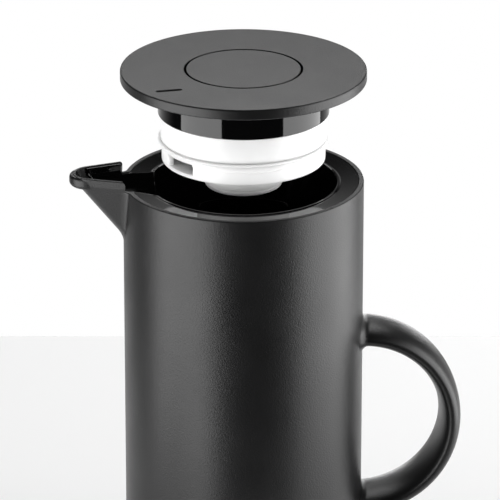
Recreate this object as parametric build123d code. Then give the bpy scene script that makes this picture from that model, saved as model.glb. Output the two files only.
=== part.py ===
from build123d import *

# One litre vacuum jug with a glass flask inside, a beak spout, a ring handle and a lift-out stopper lid.
# Millimetres. The origin is the centre of the base pad's lower face, +Z is up, the spout points along -X and
# the handle along +X. The lid is drawn lifted clear of the mouth by lid_lift, turned so that its pouring
# window stands lid_turn_shut round from the spout, as it is when it is set down shut.

import os
from math import atan2, cos, degrees, radians, sin, tan

# ---------------------------------------------------------------- fits and clearances
running_fit = 0.05       # radial, between pieces that slide or turn in one another
moving_gap = 0.3         # between pieces that only pass one another
joint_gap = 0.1          # between fixed pieces that drop into one another

# ---------------------------------------------------------------- small edge rounds
trim_round = 0.2         # seals and bushes
fine_round = 0.3         # inner edges
soft_round = 0.4         # edges that are touched
corner_round = 1.0       # inner corners

# ---------------------------------------------------------------- outer shell
body_radius = 59.0
body_height = 240.0
shell_wall = 2.4
ledge_width = 1.2        # inward step that carries the pouring collar
ledge_drop = 11.0        # from the rim down to that step
foot_step_height = 9.0   # height of the wider opening that takes the base cover
rim_round = 0.6
foot_round = 1.6
foot_gap = 0.8           # shell edge above the table

# ---------------------------------------------------------------- spout
spout_rise = 5.2         # walls above the rim, level with the shut lid
keel_slope = 51.0        # degrees from level
keel_reach = 23.6        # keel beyond the body where the lip begins
keel_rise = 1.5          # that point's height above the rim
nose_flare = 1.0         # further reach of the nose at its top edge
nose_radius = 10.0
cheek_angle = 18.2       # degrees, each side wall from the spout's middle plane
spout_wall = 1.5
keel_depth = 33.0        # depth at which the keel has run inside the body
spout_root_depth = 19.0  # how far inside the body the two side walls end
lip_radius = 9.4
lip_proud = 2.7          # lip beyond the keel's reach
lip_drop = 1.0           # underside of the pouring lip below the rim
lip_under_round = 2.4
lip_top_round = 2.0
spout_edge_round = 0.45
root_round = 3.0
notch_round = 1.8        # top corner where the wall ends beside the lid

# ---------------------------------------------------------------- handle
handle_set_in = 1.0             # ring's axis inside the body's surface
handle_height = 113.0           # ring's axis above the table
handle_outer_radius = 50.6
handle_thickness = 8.4
handle_width = 28.0
handle_edge_round = 3.7
handle_root_round = 4.0
handle_spigot = 9.0             # side of the square tenon through the shell

# ---------------------------------------------------------------- pouring collar
funnel_flare = 3.8              # mouth beyond the straight bore
funnel_taper = 0.4              # mouth narrows by this under its edge
flange_thickness = 1.8
flange_drop = 0.4               # flange's outer edge below the rim
flange_dish = 0.9               # further fall to the mouth
mouth_bead = 0.5
bead_width = 1.2
bead_foot = 0.8                 # slope from the bead down to the dish
bore_round = 3.0                # where funnel and bore meet
collar_wall = 1.8
collar_floor = 2.0
lining_wall = 1.2
neck_depth = 26.0               # where the funnel meets the straight bore
cheek_end = 7.1                 # lining stops this far behind the nose's outer face
trough_overhang = 5.0           # full trough beyond the body's surface

# ---------------------------------------------------------------- glass flask
flask_clearance = 3.9           # between the flask and the shell
flask_wall = 1.3
vacuum_gap = 4.2
flask_bottom = 17.0
flask_corner = 14.0
flask_shoulder_drop = 22.0      # from the neck's top to where the shoulder begins
flask_shoulder_height = 34.0
flask_shoulder_round = 30.0
flask_neck_round = 6.0
neck_clearance = 0.6            # between the stopper's nose and the glass neck
neck_vacuum_gap = 1.8
lip_height = 2.0
lip_round = 0.8
tip_radius = 3.5
tip_length = 7.0
gasket_thickness = 2.0
gasket_skirt = 3.4
gasket_wall = 1.6
cushion_radius = 26.0
cushion_bore = 8.0
shoulder_ring_height = 10.0
shoulder_ring_drop = 22.0       # from where the shoulder begins to the ring
spacer_radius = 4.0
spacer_height = 34.0
spacer_count = 3

# ---------------------------------------------------------------- base
pad_thickness = 2.0
pad_proud = 0.8                 # pad below the cover's rim
cover_plate = 3.0
pad_edge = 1.8
pad_round = 0.5
base_screw_count = 3
base_boss_inset = 6.4           # boss's axis from the shell's inner face
base_boss_radius = 4.2
base_boss_height = 10.0
base_screw_radius = 1.5
base_screw_head = 3.0
base_screw_length = 9.0
base_slot_length = 4.0
base_slot_width = 0.8
base_slot_depth = 0.5

# ---------------------------------------------------------------- lid
lid_lift = 51.7                 # how far the lid is held above its seat
lid_turn_shut = 35.0            # degrees from the spout to the pouring window
disc_proud = 1.0                # disc beyond the body
disc_thickness = 5.2
disc_edge_round = 0.8
button_groove = 28.9            # radius of the button's well
groove_width = 1.0
well_wall = 1.5
well_depth = 9.0                # below the disc's underside
well_floor = 1.5
mark_length = 12.0
mark_width = 1.2
mark_depth = 0.6
mark_inset = 6.5                # mark's outer end from the disc's edge
mark_slant = 20.5               # degrees, mark from the radial line
skirt_proud = 1.3               # skirt beyond the stopper
skirt_height = 16.6
skirt_wall = 1.8
lid_boss_radius = 3.2
lid_screw_inset = 3.5           # screw's axis from the well's wall
lid_floor_reach = 4.0           # well's floor inward of the screws
lid_screw_count = 3
lid_screw_radius = 1.1
lid_screw_head = 2.2
lid_screw_head_height = 1.3
lid_screw_length = 5.0
lid_screw_spare = 0.6           # hole beyond the screw's end
lid_slot_length = 2.8
lid_slot_width = 0.6
lid_slot_depth = 0.5

# ---------------------------------------------------------------- stopper
stopper_radius = 40.5
stopper_height = 23.9
stopper_wall = 1.8
stopper_floor = 1.9
stopper_flare = 0.5             # small flare under the skirt
flare_height = 2.4
flare_land = 0.8                # straight edge above the flare
lower_step_drop = 17.5          # where the stopper's lower part steps in
lower_step = 0.5
step_slope = 0.4                # height of the step's slope
window_height = 5.8
window_width = 18.5
plug_ring_depth = 6.0           # skirt's ring that plugs into the stopper
plug_ring_wall = 1.6
plug_ring_spare = 1.0           # bore goes on below the ring
o_ring_thickness = 1.6
o_ring_groove = 0.9
lip_seal_drop = 13.7            # top of the stopper to the middle of the lip seal
lip_seal_height = 1.6
lip_seal_proud = 1.4            # lip beyond the stopper
lip_seal_depth = 1.2
lip_seal_web = 1.4              # ring inside the stopper's surface
lip_tip_low = 0.2               # blunt tip of the lip, below and above its middle
lip_tip_high = 0.4
seal_shoulder = 3.0             # chamber narrows this far above the lip seal
nose_radius_outer = 21.4
nose_sleeve = 2.2
nose_tube_wall = 2.0
nose_length = 10.6
nose_end_taper = 0.8            # sleeve narrows by this at its end
nose_end_height = 2.4
nose_end_round = 1.2
nose_side_round = 2.0

# ---------------------------------------------------------------- button and valve
button_plate = 1.8
button_skirt = 5.6
button_wall = 1.6
button_edge_round = 0.4
socket_radius = 5.0
socket_depth = 9.0
stem_radius = 3.0
stem_neck = 0.8                 # stem's lower part is thinner by this
stem_seal_height = 1.4
stem_seal_depth = 1.1
bush_radius = 5.2
bush_flange_radius = 7.0
bush_flange_height = 1.2
bush_drop = 4.0
spring_coil_radius = 8.6
spring_wire = 0.45
spring_turns = 4
valve_washer = 1.4
valve_plate = 1.8
valve_overlap = 1.6             # washer beyond the nose's bore
valve_bevel = 1.6               # plate's lower edge
valve_edge = 0.8                # straight edge above the bevel
clip_thickness = 0.8
clip_radius = 5.2
clip_groove = 1.4
clip_mouth = 2.4
clip_inset = 1.6                # stem end beyond the clip

# ---------------------------------------------------------------- heights worked out from the above
rim_z = body_height
shell_inner = body_radius - shell_wall
ledge_inner = shell_inner - ledge_width
ledge_z = rim_z - ledge_drop
disc_radius = body_radius + disc_proud
notch_radius = disc_radius + 2 * moving_gap
mark_outer_radius = disc_radius - mark_inset
well_outer = button_groove + well_wall
spout_root = body_radius - spout_root_depth
keel_tip = body_radius + keel_reach
lip_reach = keel_tip + lip_proud
trough_reach = body_radius + trough_overhang
handle_x = body_radius - handle_set_in
flask_radius = ledge_inner - flask_clearance
base_screw_circle = shell_inner - base_boss_inset
lid_screw_circle = button_groove - lid_screw_inset
skirt_radius = stopper_radius + skirt_proud
lip_seal_radius = stopper_radius + lip_seal_proud
seat_z = rim_z + moving_gap                 # disc's underside when the lid is shut
lid_z = seat_z + lid_lift                   # and as drawn
stopper_top_z = lid_z - skirt_height
stopper_bottom_z = stopper_top_z - stopper_height
nose_end_z = stopper_bottom_z - nose_length
floor_top_z = stopper_bottom_z - lid_lift - 2 * moving_gap
floor_under_z = floor_top_z - collar_floor
bore_radius = lip_seal_radius + moving_gap
mouth_radius = bore_radius + funnel_flare
flask_mouth = nose_radius_outer + neck_clearance
flask_top_z = floor_under_z - gasket_thickness
flask_lip_outer = flask_mouth + 2 * flask_wall + neck_vacuum_gap
shoulder_z = flask_top_z - flask_shoulder_drop
above_all_z = rim_z + 3 * spout_rise        # clear of every piece of the jug
cover_under_z = pad_proud
cover_top_z = pad_thickness + cover_plate
button_radius = button_groove - groove_width
nose_tube_outer = nose_radius_outer - nose_sleeve
nose_bore = nose_tube_outer - nose_tube_wall
disc_top_z = lid_z + disc_thickness
skirt_floor_z = stopper_top_z + skirt_wall
well_bottom_z = lid_z - well_depth
well_floor_z = well_bottom_z + well_floor
seal_z = stopper_top_z - lip_seal_drop
seal_groove = stopper_radius - lip_seal_web
o_ring_z = stopper_top_z - plug_ring_depth / 2
plug_ring_outer = stopper_radius - stopper_wall - joint_gap
chamber_floor_z = stopper_bottom_z + stopper_floor
bush_top_z = skirt_floor_z + bush_flange_height
bush_bottom_z = stopper_top_z - bush_drop
stem_seal_z = (bush_top_z + bush_bottom_z) / 2
stem_bore = stem_radius + running_fit
washer_top_z = nose_end_z - moving_gap
valve_top_z = washer_top_z - valve_washer
valve_bottom_z = valve_top_z - valve_plate
valve_radius = nose_bore + valve_overlap
neck_radius = stem_radius - stem_neck


def turned(outline):
    """Body of revolution about Z from (radius, height, corner round) points."""
    points = [(radius, height) for radius, height, _ in outline]
    rounds = [corner for _, _, corner in outline]
    face = make_face(FilletPolyline(*points, radius=rounds, close=True))
    return revolve(Plane.XZ * face, Axis.Z)


def disc(radius, low, high, middle=(0.0, 0.0)):
    """Plain round bar along Z between two heights."""
    return Pos(middle[0], middle[1], low) * extrude(Circle(radius), high - low)


def ring(outer, inner, low, high):
    """Plain tube along Z between two heights."""
    return Pos(0, 0, low) * extrude(Circle(outer) - Circle(inner), high - low)


def round_the_axis(count, radius, start=0.0):
    """Centres of count pieces spaced evenly on a circle."""
    angles = [radians(start + 360.0 * step / count) for step in range(count)]
    return [(radius * cos(angle), radius * sin(angle)) for angle in angles]


# ---------------------------------------------------------------- spout forms
def spout_outline(tip, radius):
    """Flat outline of the spout: two cheeks that open towards the body and a round nose."""
    angle = radians(cheek_angle)
    centre = tip - radius
    touch_x = centre + radius * sin(angle)
    touch_y = radius * cos(angle)
    root_y = touch_y + (touch_x - spout_root) * tan(angle)
    cheek = Line((-spout_root, root_y), (-touch_x, touch_y))
    nose = ThreePointArc((-touch_x, touch_y), (-tip, 0), (-touch_x, -touch_y))
    other = Line((-touch_x, -touch_y), (-spout_root, -root_y))
    back = Line((-spout_root, -root_y), (-spout_root, root_y))
    return make_face(Wire([cheek, nose, other, back]))


def spout_form(inset, top_z):
    """The beak as a solid, with every wall moved in by inset."""
    along = inset / sin(radians(keel_slope))
    lip_z = rim_z + keel_rise
    low_z = rim_z - keel_depth
    low_tip = keel_tip - (lip_z - low_z) / tan(radians(keel_slope))
    radius = nose_radius - inset
    crown_tip = keel_tip + nose_flare - inset
    lower = Pos(0, 0, low_z) * spout_outline(low_tip - along, radius)
    middle = Pos(0, 0, lip_z) * spout_outline(keel_tip - along, radius)
    crown = Pos(0, 0, rim_z + spout_rise) * spout_outline(crown_tip, radius)
    beak = loft([lower, middle], ruled=True) + loft([middle, crown], ruled=True)
    if top_z > rim_z + spout_rise:
        beak += extrude(crown, top_z - rim_z - spout_rise)
    return beak


def keel_side(distance):
    """Everything further from the nose's outer face than distance, cut parallel to the keel."""
    lip_z = rim_z + keel_rise
    reach = keel_tip - distance
    slope = tan(radians(keel_slope))
    low_z = rim_z - 2 * keel_depth
    high_z = rim_z + 2 * spout_rise
    low = reach - (lip_z - low_z) / slope
    high = reach + (high_z - lip_z) / slope
    face = make_face(Polyline((0, low_z), (-low, low_z), (-high, high_z), (0, high_z), close=True))
    return extrude(Plane.XZ * face, 2 * spout_root, both=True)


def spout_lip():
    """Round pouring lip that stands proud of the nose and dies out along the cheeks."""
    bead = disc(lip_radius, rim_z - lip_drop, rim_z + spout_rise, (lip_radius - lip_reach, 0))
    under = bead.edges().group_by(Axis.Z)[0]
    bead = fillet(under, lip_under_round)
    upper = bead.edges().group_by(Axis.Z)[-1]
    return fillet(upper, lip_top_round)


# ---------------------------------------------------------------- pieces that stay with the jug
def spout_outside():
    """Beak and lip in full, blended into a solid barrel, with the notch that clears the lid's disc."""
    beak = spout_form(0, rim_z + spout_rise)
    barrel = disc(body_radius, rim_z - 2 * keel_depth, rim_z + 2 * spout_rise)
    joined = barrel + beak
    creases = [edge for edge in joined.edges() if on_barrel(edge) and edge.center().X < -spout_root]
    blended = fillet(creases, root_round)
    below_rim = disc(2 * body_radius, 0, rim_z)
    notch = disc(notch_radius, rim_z, above_all_z)
    upper = beak + spout_lip() - notch
    crest = [
        edge
        for edge in upper.edges()
        if edge.geom_type == GeomType.CIRCLE and edge.center().Z > rim_z + spout_rise - 0.01
        and abs(edge.radius - notch_radius) < 0.01
    ]
    upper = fillet(crest, notch_round)
    return (blended & below_rim) + upper


def on_barrel(edge):
    """Whether an edge runs up the barrel's outside, and isn't one of its level circles."""
    points = [edge.position_at(share) for share in (0.1, 0.5, 0.9)]
    near = all(abs((point.X ** 2 + point.Y ** 2) ** 0.5 - body_radius) < 0.02 for point in points)
    return near and abs(points[0].Z - points[2].Z) > 0.1 * edge.length


def outer_shell():
    """Body wall and spout in one moulding."""
    wall = turned([
        (body_radius, foot_gap, foot_round),
        (body_radius, rim_z, rim_round),
        (shell_inner, rim_z, fine_round),
        (shell_inner, ledge_z, 0),
        (ledge_inner, ledge_z, 0),
        (ledge_inner, foot_step_height, 0),
        (shell_inner, foot_step_height, 0),
        (shell_inner, foot_gap, fine_round),
    ])
    core = disc(body_radius - shell_wall / 2, foot_gap, above_all_z)
    shell = wall + (spout_outside() - core)
    shell -= spout_form(spout_wall, above_all_z)
    hole_top_z = pad_thickness + base_screw_length
    for middle in round_the_axis(base_screw_count, base_screw_circle, 90):
        shell += screw_boss(middle)
        shell -= disc(base_screw_radius, cover_top_z, hole_top_z, middle)
    for side in (1, -1):
        shell -= handle_tenon(side, joint_gap)
    return shell


def screw_boss(middle):
    """Round boss for a base screw, joined to the wall by a short web."""
    low = cover_top_z
    boss = disc(base_boss_radius, low, low + base_boss_height, middle)
    web_length = shell_inner - base_screw_circle + shell_wall / 2
    web = Box(web_length, base_boss_radius, base_boss_height)
    web = Pos(base_screw_circle + web_length / 2, 0, low + base_boss_height / 2) * web
    web = Rot(0, 0, degrees(atan2(middle[1], middle[0]))) * web
    return boss + web


def handle_tenon(side, gap):
    """Square tenon at the upper or lower root, through the shell's wall."""
    centre_z = handle_height + side * (handle_outer_radius - handle_thickness / 2)
    size = handle_spigot / 2 + gap
    length = 2 * shell_wall + ledge_width + 2 * gap
    block = Box(length, handle_spigot + 2 * gap, size)
    return Pos(body_radius - length / 2, 0, centre_z) * block


def handle():
    """Half ring of flat, round-edged section with flared roots and a tenon at each."""
    section = RectangleRounded(handle_thickness, handle_width, handle_edge_round)
    mid_radius = handle_outer_radius - handle_thickness / 2
    full = revolve(Pos(mid_radius, 0) * section, Axis.Y)
    full = Pos(handle_x, 0, handle_height) * full
    joined = full + disc(body_radius, 0, rim_z - corner_round)
    roots = [edge for edge in joined.edges() if at_handle_root(edge)]
    joined = fillet(roots, handle_root_round)
    reach = handle_outer_radius + handle_width
    outward = Box(2 * reach, 2 * reach, 2 * reach)
    outward = Pos(body_radius - handle_thickness + reach, 0, handle_height) * outward
    bar = (joined - disc(body_radius, -corner_round, above_all_z)) & outward
    for side in (1, -1):
        bar += handle_tenon(side, 0)
    return bar


def at_handle_root(edge):
    """Whether an edge is where the handle's ring meets the barrel, on the side the handle keeps."""
    middle = edge.center()
    near = abs((middle.X ** 2 + middle.Y ** 2) ** 0.5 - body_radius) < handle_thickness / 2
    level = abs(middle.Z - handle_height) < handle_outer_radius + handle_root_round
    return near and level and middle.X > 0


def pouring_collar():
    """Funnel and straight neck that line the mouth, with a trough that climbs into the spout."""
    flange_z = rim_z - flange_drop
    mouth_z = flange_z - flange_dish
    bead_z = mouth_z + mouth_bead
    taper_z = mouth_z - flange_thickness
    neck_z = rim_z - neck_depth
    flange_outer = shell_inner - joint_gap
    flange_inner = flange_outer - collar_wall
    bore_outer = bore_radius + collar_wall
    bowl = turned([
        (flange_outer, ledge_z, 0),
        (flange_outer, flange_z, fine_round),
        (mouth_radius + bead_width + bead_foot, mouth_z, 0),
        (mouth_radius + bead_width, bead_z, mouth_bead),
        (mouth_radius, bead_z, soft_round),
        (mouth_radius - funnel_taper, taper_z, corner_round),
        (bore_radius, neck_z, bore_round),
        (bore_radius, floor_top_z, corner_round),
        (flask_mouth, floor_top_z, mouth_bead),
        (flask_mouth, floor_under_z, fine_round),
        (bore_outer, floor_under_z, collar_wall - fine_round),
        (bore_outer, neck_z - corner_round, bore_round),
        (mouth_radius + collar_wall, taper_z - corner_round, 2 * soft_round),
        (flange_inner, flange_z - flange_thickness - soft_round, fine_round),
        (flange_inner, ledge_z, 0),
    ])
    hollow = turned([
        (0, floor_top_z, 0),
        (bore_radius, floor_top_z, corner_round),
        (bore_radius, neck_z, bore_round),
        (mouth_radius - funnel_taper, taper_z, corner_round),
        (mouth_radius, bead_z, 0),
        (mouth_radius, above_all_z, 0),
        (0, above_all_z, 0),
    ])
    channel = spout_form(spout_wall + joint_gap + lining_wall, above_all_z)
    channel &= disc(2 * body_radius, floor_top_z, above_all_z)
    return bowl + (trough_form() - hollow) - channel


def trough_form():
    """Outside of the trough: the beak's form inside the spout's walls, cut where the lining ends."""
    form = spout_form(spout_wall + joint_gap, above_all_z)
    form &= disc(2 * body_radius, floor_under_z, rim_z + spout_rise - spout_edge_round)
    form &= disc(trough_reach, floor_under_z, above_all_z) + keel_side(cheek_end)
    return form - disc(notch_radius, rim_z - flange_drop, above_all_z)


def collar_gasket():
    """Silicone ring between the collar's floor and the glass mouth."""
    inner = flask_mouth + fine_round
    seat = flask_lip_outer + joint_gap
    skirt_z = flask_top_z - gasket_skirt
    return turned([
        (inner, floor_under_z, soft_round),
        (seat + gasket_wall, floor_under_z, soft_round),
        (seat + gasket_wall, skirt_z, soft_round),
        (seat, skirt_z, fine_round),
        (seat, flask_top_z, 0),
        (inner, flask_top_z, soft_round),
    ])


def bottle(inset, neck_outer, top_z):
    """Solid in the shape of one bottle: flat-domed foot, straight body, round shoulder, neck."""
    radius = flask_radius - inset
    bottom = flask_bottom + inset
    low = shoulder_z - flask_shoulder_height + inset
    return turned([
        (0, bottom, 0),
        (radius, bottom, flask_corner),
        (radius, low, flask_shoulder_round),
        (neck_outer, shoulder_z, flask_neck_round),
        (neck_outer, top_z, 0),
        (0, top_z, 0),
    ])


def liner_outer_glass():
    """Outer bottle, with the sealed pumping tip under its foot."""
    neck = flask_mouth + flask_wall + neck_vacuum_gap
    outside = bottle(0, neck + flask_wall, flask_top_z - lip_height)
    inside = bottle(flask_wall, neck, floor_top_z)
    tip = disc(tip_radius, flask_bottom - tip_length, flask_bottom + flask_wall / 2)
    tip = fillet(tip.edges().group_by(Axis.Z)[0], tip_radius - soft_round)
    return (outside - inside) + tip


def liner_inner_glass():
    """Inner bottle, whose mouth is turned over on to the outer one's neck."""
    inset = flask_wall + vacuum_gap
    outside = bottle(inset, flask_mouth + flask_wall, flask_top_z - lip_height)
    lip = disc(flask_lip_outer, flask_top_z - lip_height, flask_top_z)
    lip = fillet(lip.edges().group_by(Axis.Z)[-1], lip_round)
    inside = bottle(inset + flask_wall, flask_mouth, floor_top_z)
    return outside + lip - inside


def liner_spacers():
    """Pads that hold the two bottles apart, near the foot."""
    inner_face = flask_radius - flask_wall - vacuum_gap
    gap_ring = ring(flask_radius - flask_wall, inner_face, 0, rim_z)
    pads = Part()
    for step in range(spacer_count):
        rod = Rot(0, 90, 0) * extrude(Circle(spacer_radius), flask_radius)
        rod = Rot(0, 0, 30 + 360 * step / spacer_count) * rod
        pads += (Pos(0, 0, flask_bottom + spacer_height) * rod) & gap_ring
    return pads


def liner_cushion():
    """Soft cup under the flask, with a well for the pumping tip."""
    return turned([
        (cushion_bore, cover_top_z, soft_round),
        (cushion_radius, cover_top_z, soft_round),
        (cushion_radius, flask_bottom, corner_round),
        (cushion_bore, flask_bottom, corner_round),
    ])


def shoulder_ring():
    """Foam ring that centres the flask in the shell, just below its shoulder."""
    top = shoulder_z - flask_shoulder_height - shoulder_ring_drop
    return ring(ledge_inner, flask_radius, top - shoulder_ring_height, top)


def base_cover():
    """Screwed plate that closes the foot, with a recess for the pad."""
    recess = shell_inner - pad_edge
    cover_outer = shell_inner - joint_gap
    plate = turned([
        (0, pad_thickness, 0),
        (recess, pad_thickness, 0),
        (recess, cover_under_z, fine_round),
        (cover_outer, cover_under_z, soft_round),
        (cover_outer, cover_top_z, soft_round),
        (0, cover_top_z, 0),
    ])
    for middle in round_the_axis(base_screw_count, base_screw_circle, 90):
        plate -= disc(base_screw_radius + joint_gap, 0, cover_top_z, middle)
        plate -= screw_cone(middle, joint_gap)
    return plate


def screw_cone(middle, gap):
    """Countersunk head, wide end down at the pad."""
    narrow = base_screw_radius + gap
    head = Cone(base_screw_head + gap, narrow, narrow)
    return Pos(middle[0], middle[1], pad_thickness + narrow / 2) * head


def base_screws():
    """Countersunk screws through the cover into the shell's bosses."""
    screws = Part()
    for middle in round_the_axis(base_screw_count, base_screw_circle, 90):
        shank = disc(base_screw_radius, pad_thickness, pad_thickness + base_screw_length, middle)
        slot = Box(base_slot_length, base_slot_width, 2 * base_slot_depth)
        slot = Pos(middle[0], middle[1], pad_thickness) * slot
        screws += shank + screw_cone(middle, 0) - slot
    return screws


def base_pad():
    """Grip pad that covers the screws and carries the jug."""
    pad = disc(shell_inner - pad_edge - joint_gap, 0, pad_thickness)
    return fillet(pad.edges().group_by(Axis.Z)[0], pad_round)


# ---------------------------------------------------------------- lid
def lid_disc():
    """Flat top of the lid with the button's well, the pouring mark and the screw holes."""
    floor_edge = lid_screw_circle - lid_floor_reach
    plate = turned([
        (disc_radius, lid_z, disc_edge_round),
        (disc_radius, disc_top_z, disc_edge_round),
        (button_groove, disc_top_z, fine_round),
        (button_groove, well_floor_z, 0),
        (floor_edge, well_floor_z, 0),
        (floor_edge, well_bottom_z, 0),
        (well_outer, well_bottom_z, soft_round),
        (well_outer, lid_z, soft_round),
    ])
    for middle in round_the_axis(lid_screw_count, lid_screw_circle, 30):
        plate -= disc(lid_screw_radius + joint_gap, stopper_top_z, disc_top_z, middle)
    return plate - pouring_mark()


def pouring_mark():
    """Short sunk line in the disc, over the pouring window."""
    turn = 180 + lid_turn_shut
    line = Pos(mark_outer_radius, 0, disc_top_z) * Rot(0, 0, mark_slant)
    bar = extrude(SlotOverall(mark_length, mark_width), mark_depth, both=True)
    bar = Pos(-mark_length / 2 + mark_width / 2, 0, 0) * bar
    return Rot(0, 0, turn) * line * bar


def lid_skirt():
    """Gloss cup under the disc: side wall, floor, screw bosses, bush seat and plug ring."""
    ring_inner = plug_ring_outer - plug_ring_wall
    ring_end_z = stopper_top_z - plug_ring_depth
    groove = plug_ring_outer - o_ring_groove
    groove_low = o_ring_z - o_ring_thickness / 2
    groove_high = o_ring_z + o_ring_thickness / 2
    bush_seat = bush_radius + joint_gap
    inner = skirt_radius - skirt_wall
    cup = turned([
        (bush_seat, stopper_top_z, fine_round),
        (ring_inner, stopper_top_z, 0),
        (ring_inner, ring_end_z, soft_round),
        (plug_ring_outer, ring_end_z, soft_round),
        (plug_ring_outer, groove_low, 0),
        (groove, groove_low, 0),
        (groove, groove_high, 0),
        (plug_ring_outer, groove_high, 0),
        (plug_ring_outer, stopper_top_z, 0),
        (skirt_radius, stopper_top_z, soft_round),
        (skirt_radius, lid_z, 0),
        (inner, lid_z, 0),
        (inner, skirt_floor_z, corner_round),
        (bush_seat, skirt_floor_z, fine_round),
    ])
    boss_foot_z = stopper_top_z + skirt_wall / 2
    for middle in round_the_axis(lid_screw_count, lid_screw_circle, 30):
        cup += disc(lid_boss_radius, boss_foot_z, well_bottom_z, middle)
        cup -= disc(lid_screw_radius, well_bottom_z - lid_screw_length, well_bottom_z, middle)
    return cup


def lid_screws():
    """Pan-head screws from the button's well into the skirt's bosses."""
    head_top = well_floor_z + lid_screw_head_height
    shank_end = well_bottom_z - lid_screw_length + lid_screw_spare
    screws = Part()
    for middle in round_the_axis(lid_screw_count, lid_screw_circle, 30):
        head = disc(lid_screw_head, well_floor_z, head_top, middle)
        head = fillet(head.edges().group_by(Axis.Z)[-1], soft_round)
        slot = Box(lid_slot_length, lid_slot_width, 2 * lid_slot_depth)
        slot = Pos(middle[0], middle[1], head_top) * slot
        screws += head + disc(lid_screw_radius, shank_end, well_floor_z, middle) - slot
    return screws


def stopper_body():
    """White stopper: a cup with a pouring window, a seal groove and the nose tube below."""
    plug_bore = stopper_radius - stopper_wall
    low_outer = stopper_radius - lower_step
    flared = stopper_radius + stopper_flare
    chamber = seal_groove - stopper_wall
    step_z = stopper_top_z - lower_step_drop
    groove_half = lip_seal_height / 2 + running_fit
    cup = turned([
        (nose_bore, nose_end_z, soft_round),
        (nose_tube_outer, nose_end_z, 0),
        (nose_tube_outer, stopper_bottom_z, 0),
        (low_outer, stopper_bottom_z, lower_step),
        (low_outer, step_z, 0),
        (stopper_radius, step_z + step_slope, 0),
        (stopper_radius, seal_z - groove_half, 0),
        (seal_groove, seal_z - groove_half, 0),
        (seal_groove, seal_z + groove_half, 0),
        (stopper_radius, seal_z + groove_half, 0),
        (stopper_radius, stopper_top_z - flare_height, 0),
        (flared, stopper_top_z - flare_land, 0),
        (flared, stopper_top_z, trim_round),
        (plug_bore, stopper_top_z, fine_round),
        (plug_bore, stopper_top_z - plug_ring_depth - plug_ring_spare, 0),
        (chamber, seal_z + seal_shoulder, soft_round),
        (chamber, chamber_floor_z, corner_round),
        (nose_bore, chamber_floor_z, corner_round),
    ])
    return cup - pouring_window()


def pouring_window():
    """Cutter for the square window through the stopper's wall."""
    depth = stopper_radius / 2
    cutter = Box(depth, window_width, window_height)
    cutter = Pos(stopper_radius, 0, chamber_floor_z + window_height / 2) * cutter
    return Rot(0, 0, 180 + lid_turn_shut) * cutter


def stopper_o_ring():
    """Ring in the skirt's plug that seals it to the stopper."""
    inner = plug_ring_outer - o_ring_groove
    outer = plug_ring_outer + joint_gap
    low = o_ring_z - o_ring_thickness / 2
    high = o_ring_z + o_ring_thickness / 2
    return turned([
        (inner, low, fine_round),
        (outer, low, fine_round),
        (outer, high, fine_round),
        (inner, high, fine_round),
    ])


def nose_seal():
    """Grey silicone sleeve on the nose tube, round at its lower edge."""
    return turned([
        (nose_tube_outer, nose_end_z, 0),
        (nose_radius_outer - nose_end_taper, nose_end_z, nose_end_round),
        (nose_radius_outer, nose_end_z + nose_end_height, nose_side_round),
        (nose_radius_outer, stopper_bottom_z, fine_round),
        (nose_tube_outer, stopper_bottom_z, 0),
    ])


def stem_bush():
    """Guide for the valve stem, pressed into the skirt's floor."""
    groove = stem_bore + stem_seal_depth
    groove_low = stem_seal_z - stem_seal_height / 2
    groove_high = stem_seal_z + stem_seal_height / 2
    return turned([
        (stem_bore, bush_bottom_z, trim_round),
        (bush_radius, bush_bottom_z, soft_round),
        (bush_radius, skirt_floor_z, 0),
        (bush_flange_radius, skirt_floor_z, trim_round),
        (bush_flange_radius, bush_top_z, fine_round),
        (stem_bore, bush_top_z, trim_round),
        (stem_bore, groove_high, 0),
        (groove, groove_high, 0),
        (groove, groove_low, 0),
        (stem_bore, groove_low, 0),
    ])


def stem_seal():
    """Small ring in the bush that wipes the valve stem."""
    outer = stem_bore + stem_seal_depth
    low = stem_seal_z - stem_seal_height / 2
    high = stem_seal_z + stem_seal_height / 2
    return turned([
        (stem_bore, low, fine_round),
        (outer, low, fine_round),
        (outer, high, fine_round),
        (stem_bore, high, fine_round),
    ])


def lip_seal():
    """Silicone ring round the stopper that grips the collar's bore."""
    inner = seal_groove + running_fit
    root = stopper_radius + fine_round
    low = seal_z - lip_seal_height / 2
    high = seal_z + lip_seal_height / 2
    return turned([
        (inner, low, trim_round),
        (root, low, fine_round),
        (lip_seal_radius, seal_z - lip_tip_low, fine_round),
        (lip_seal_radius, seal_z + lip_tip_high, fine_round),
        (root, high, fine_round),
        (inner, high, trim_round),
    ])


# ---------------------------------------------------------------- button and valve
def button_cap():
    """Flat push button, level with the disc, with a socket for the stem."""
    under = disc_top_z - button_plate
    edge_z = disc_top_z - button_skirt
    inner = button_radius - button_wall
    cap = turned([
        (0, under, 0),
        (inner, under, corner_round),
        (inner, edge_z, fine_round),
        (button_radius, edge_z, fine_round),
        (button_radius, disc_top_z, button_edge_round),
        (0, disc_top_z, 0),
    ])
    socket = ring(socket_radius, stem_radius, disc_top_z - socket_depth, under + button_plate / 2)
    return cap + socket


def valve_stem():
    """Rod from the button's socket down to the valve, with a groove for the clip."""
    top = disc_top_z - button_plate
    groove_z = valve_bottom_z - clip_thickness
    end = groove_z - clip_inset
    rod = turned([
        (0, end, 0),
        (neck_radius, end, soft_round),
        (neck_radius, washer_top_z, 0),
        (stem_radius, washer_top_z, fine_round),
        (stem_radius, top, fine_round),
        (0, top, 0),
    ])
    return rod - ring(stem_radius, stem_radius - clip_groove, groove_z, valve_bottom_z)


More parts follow.
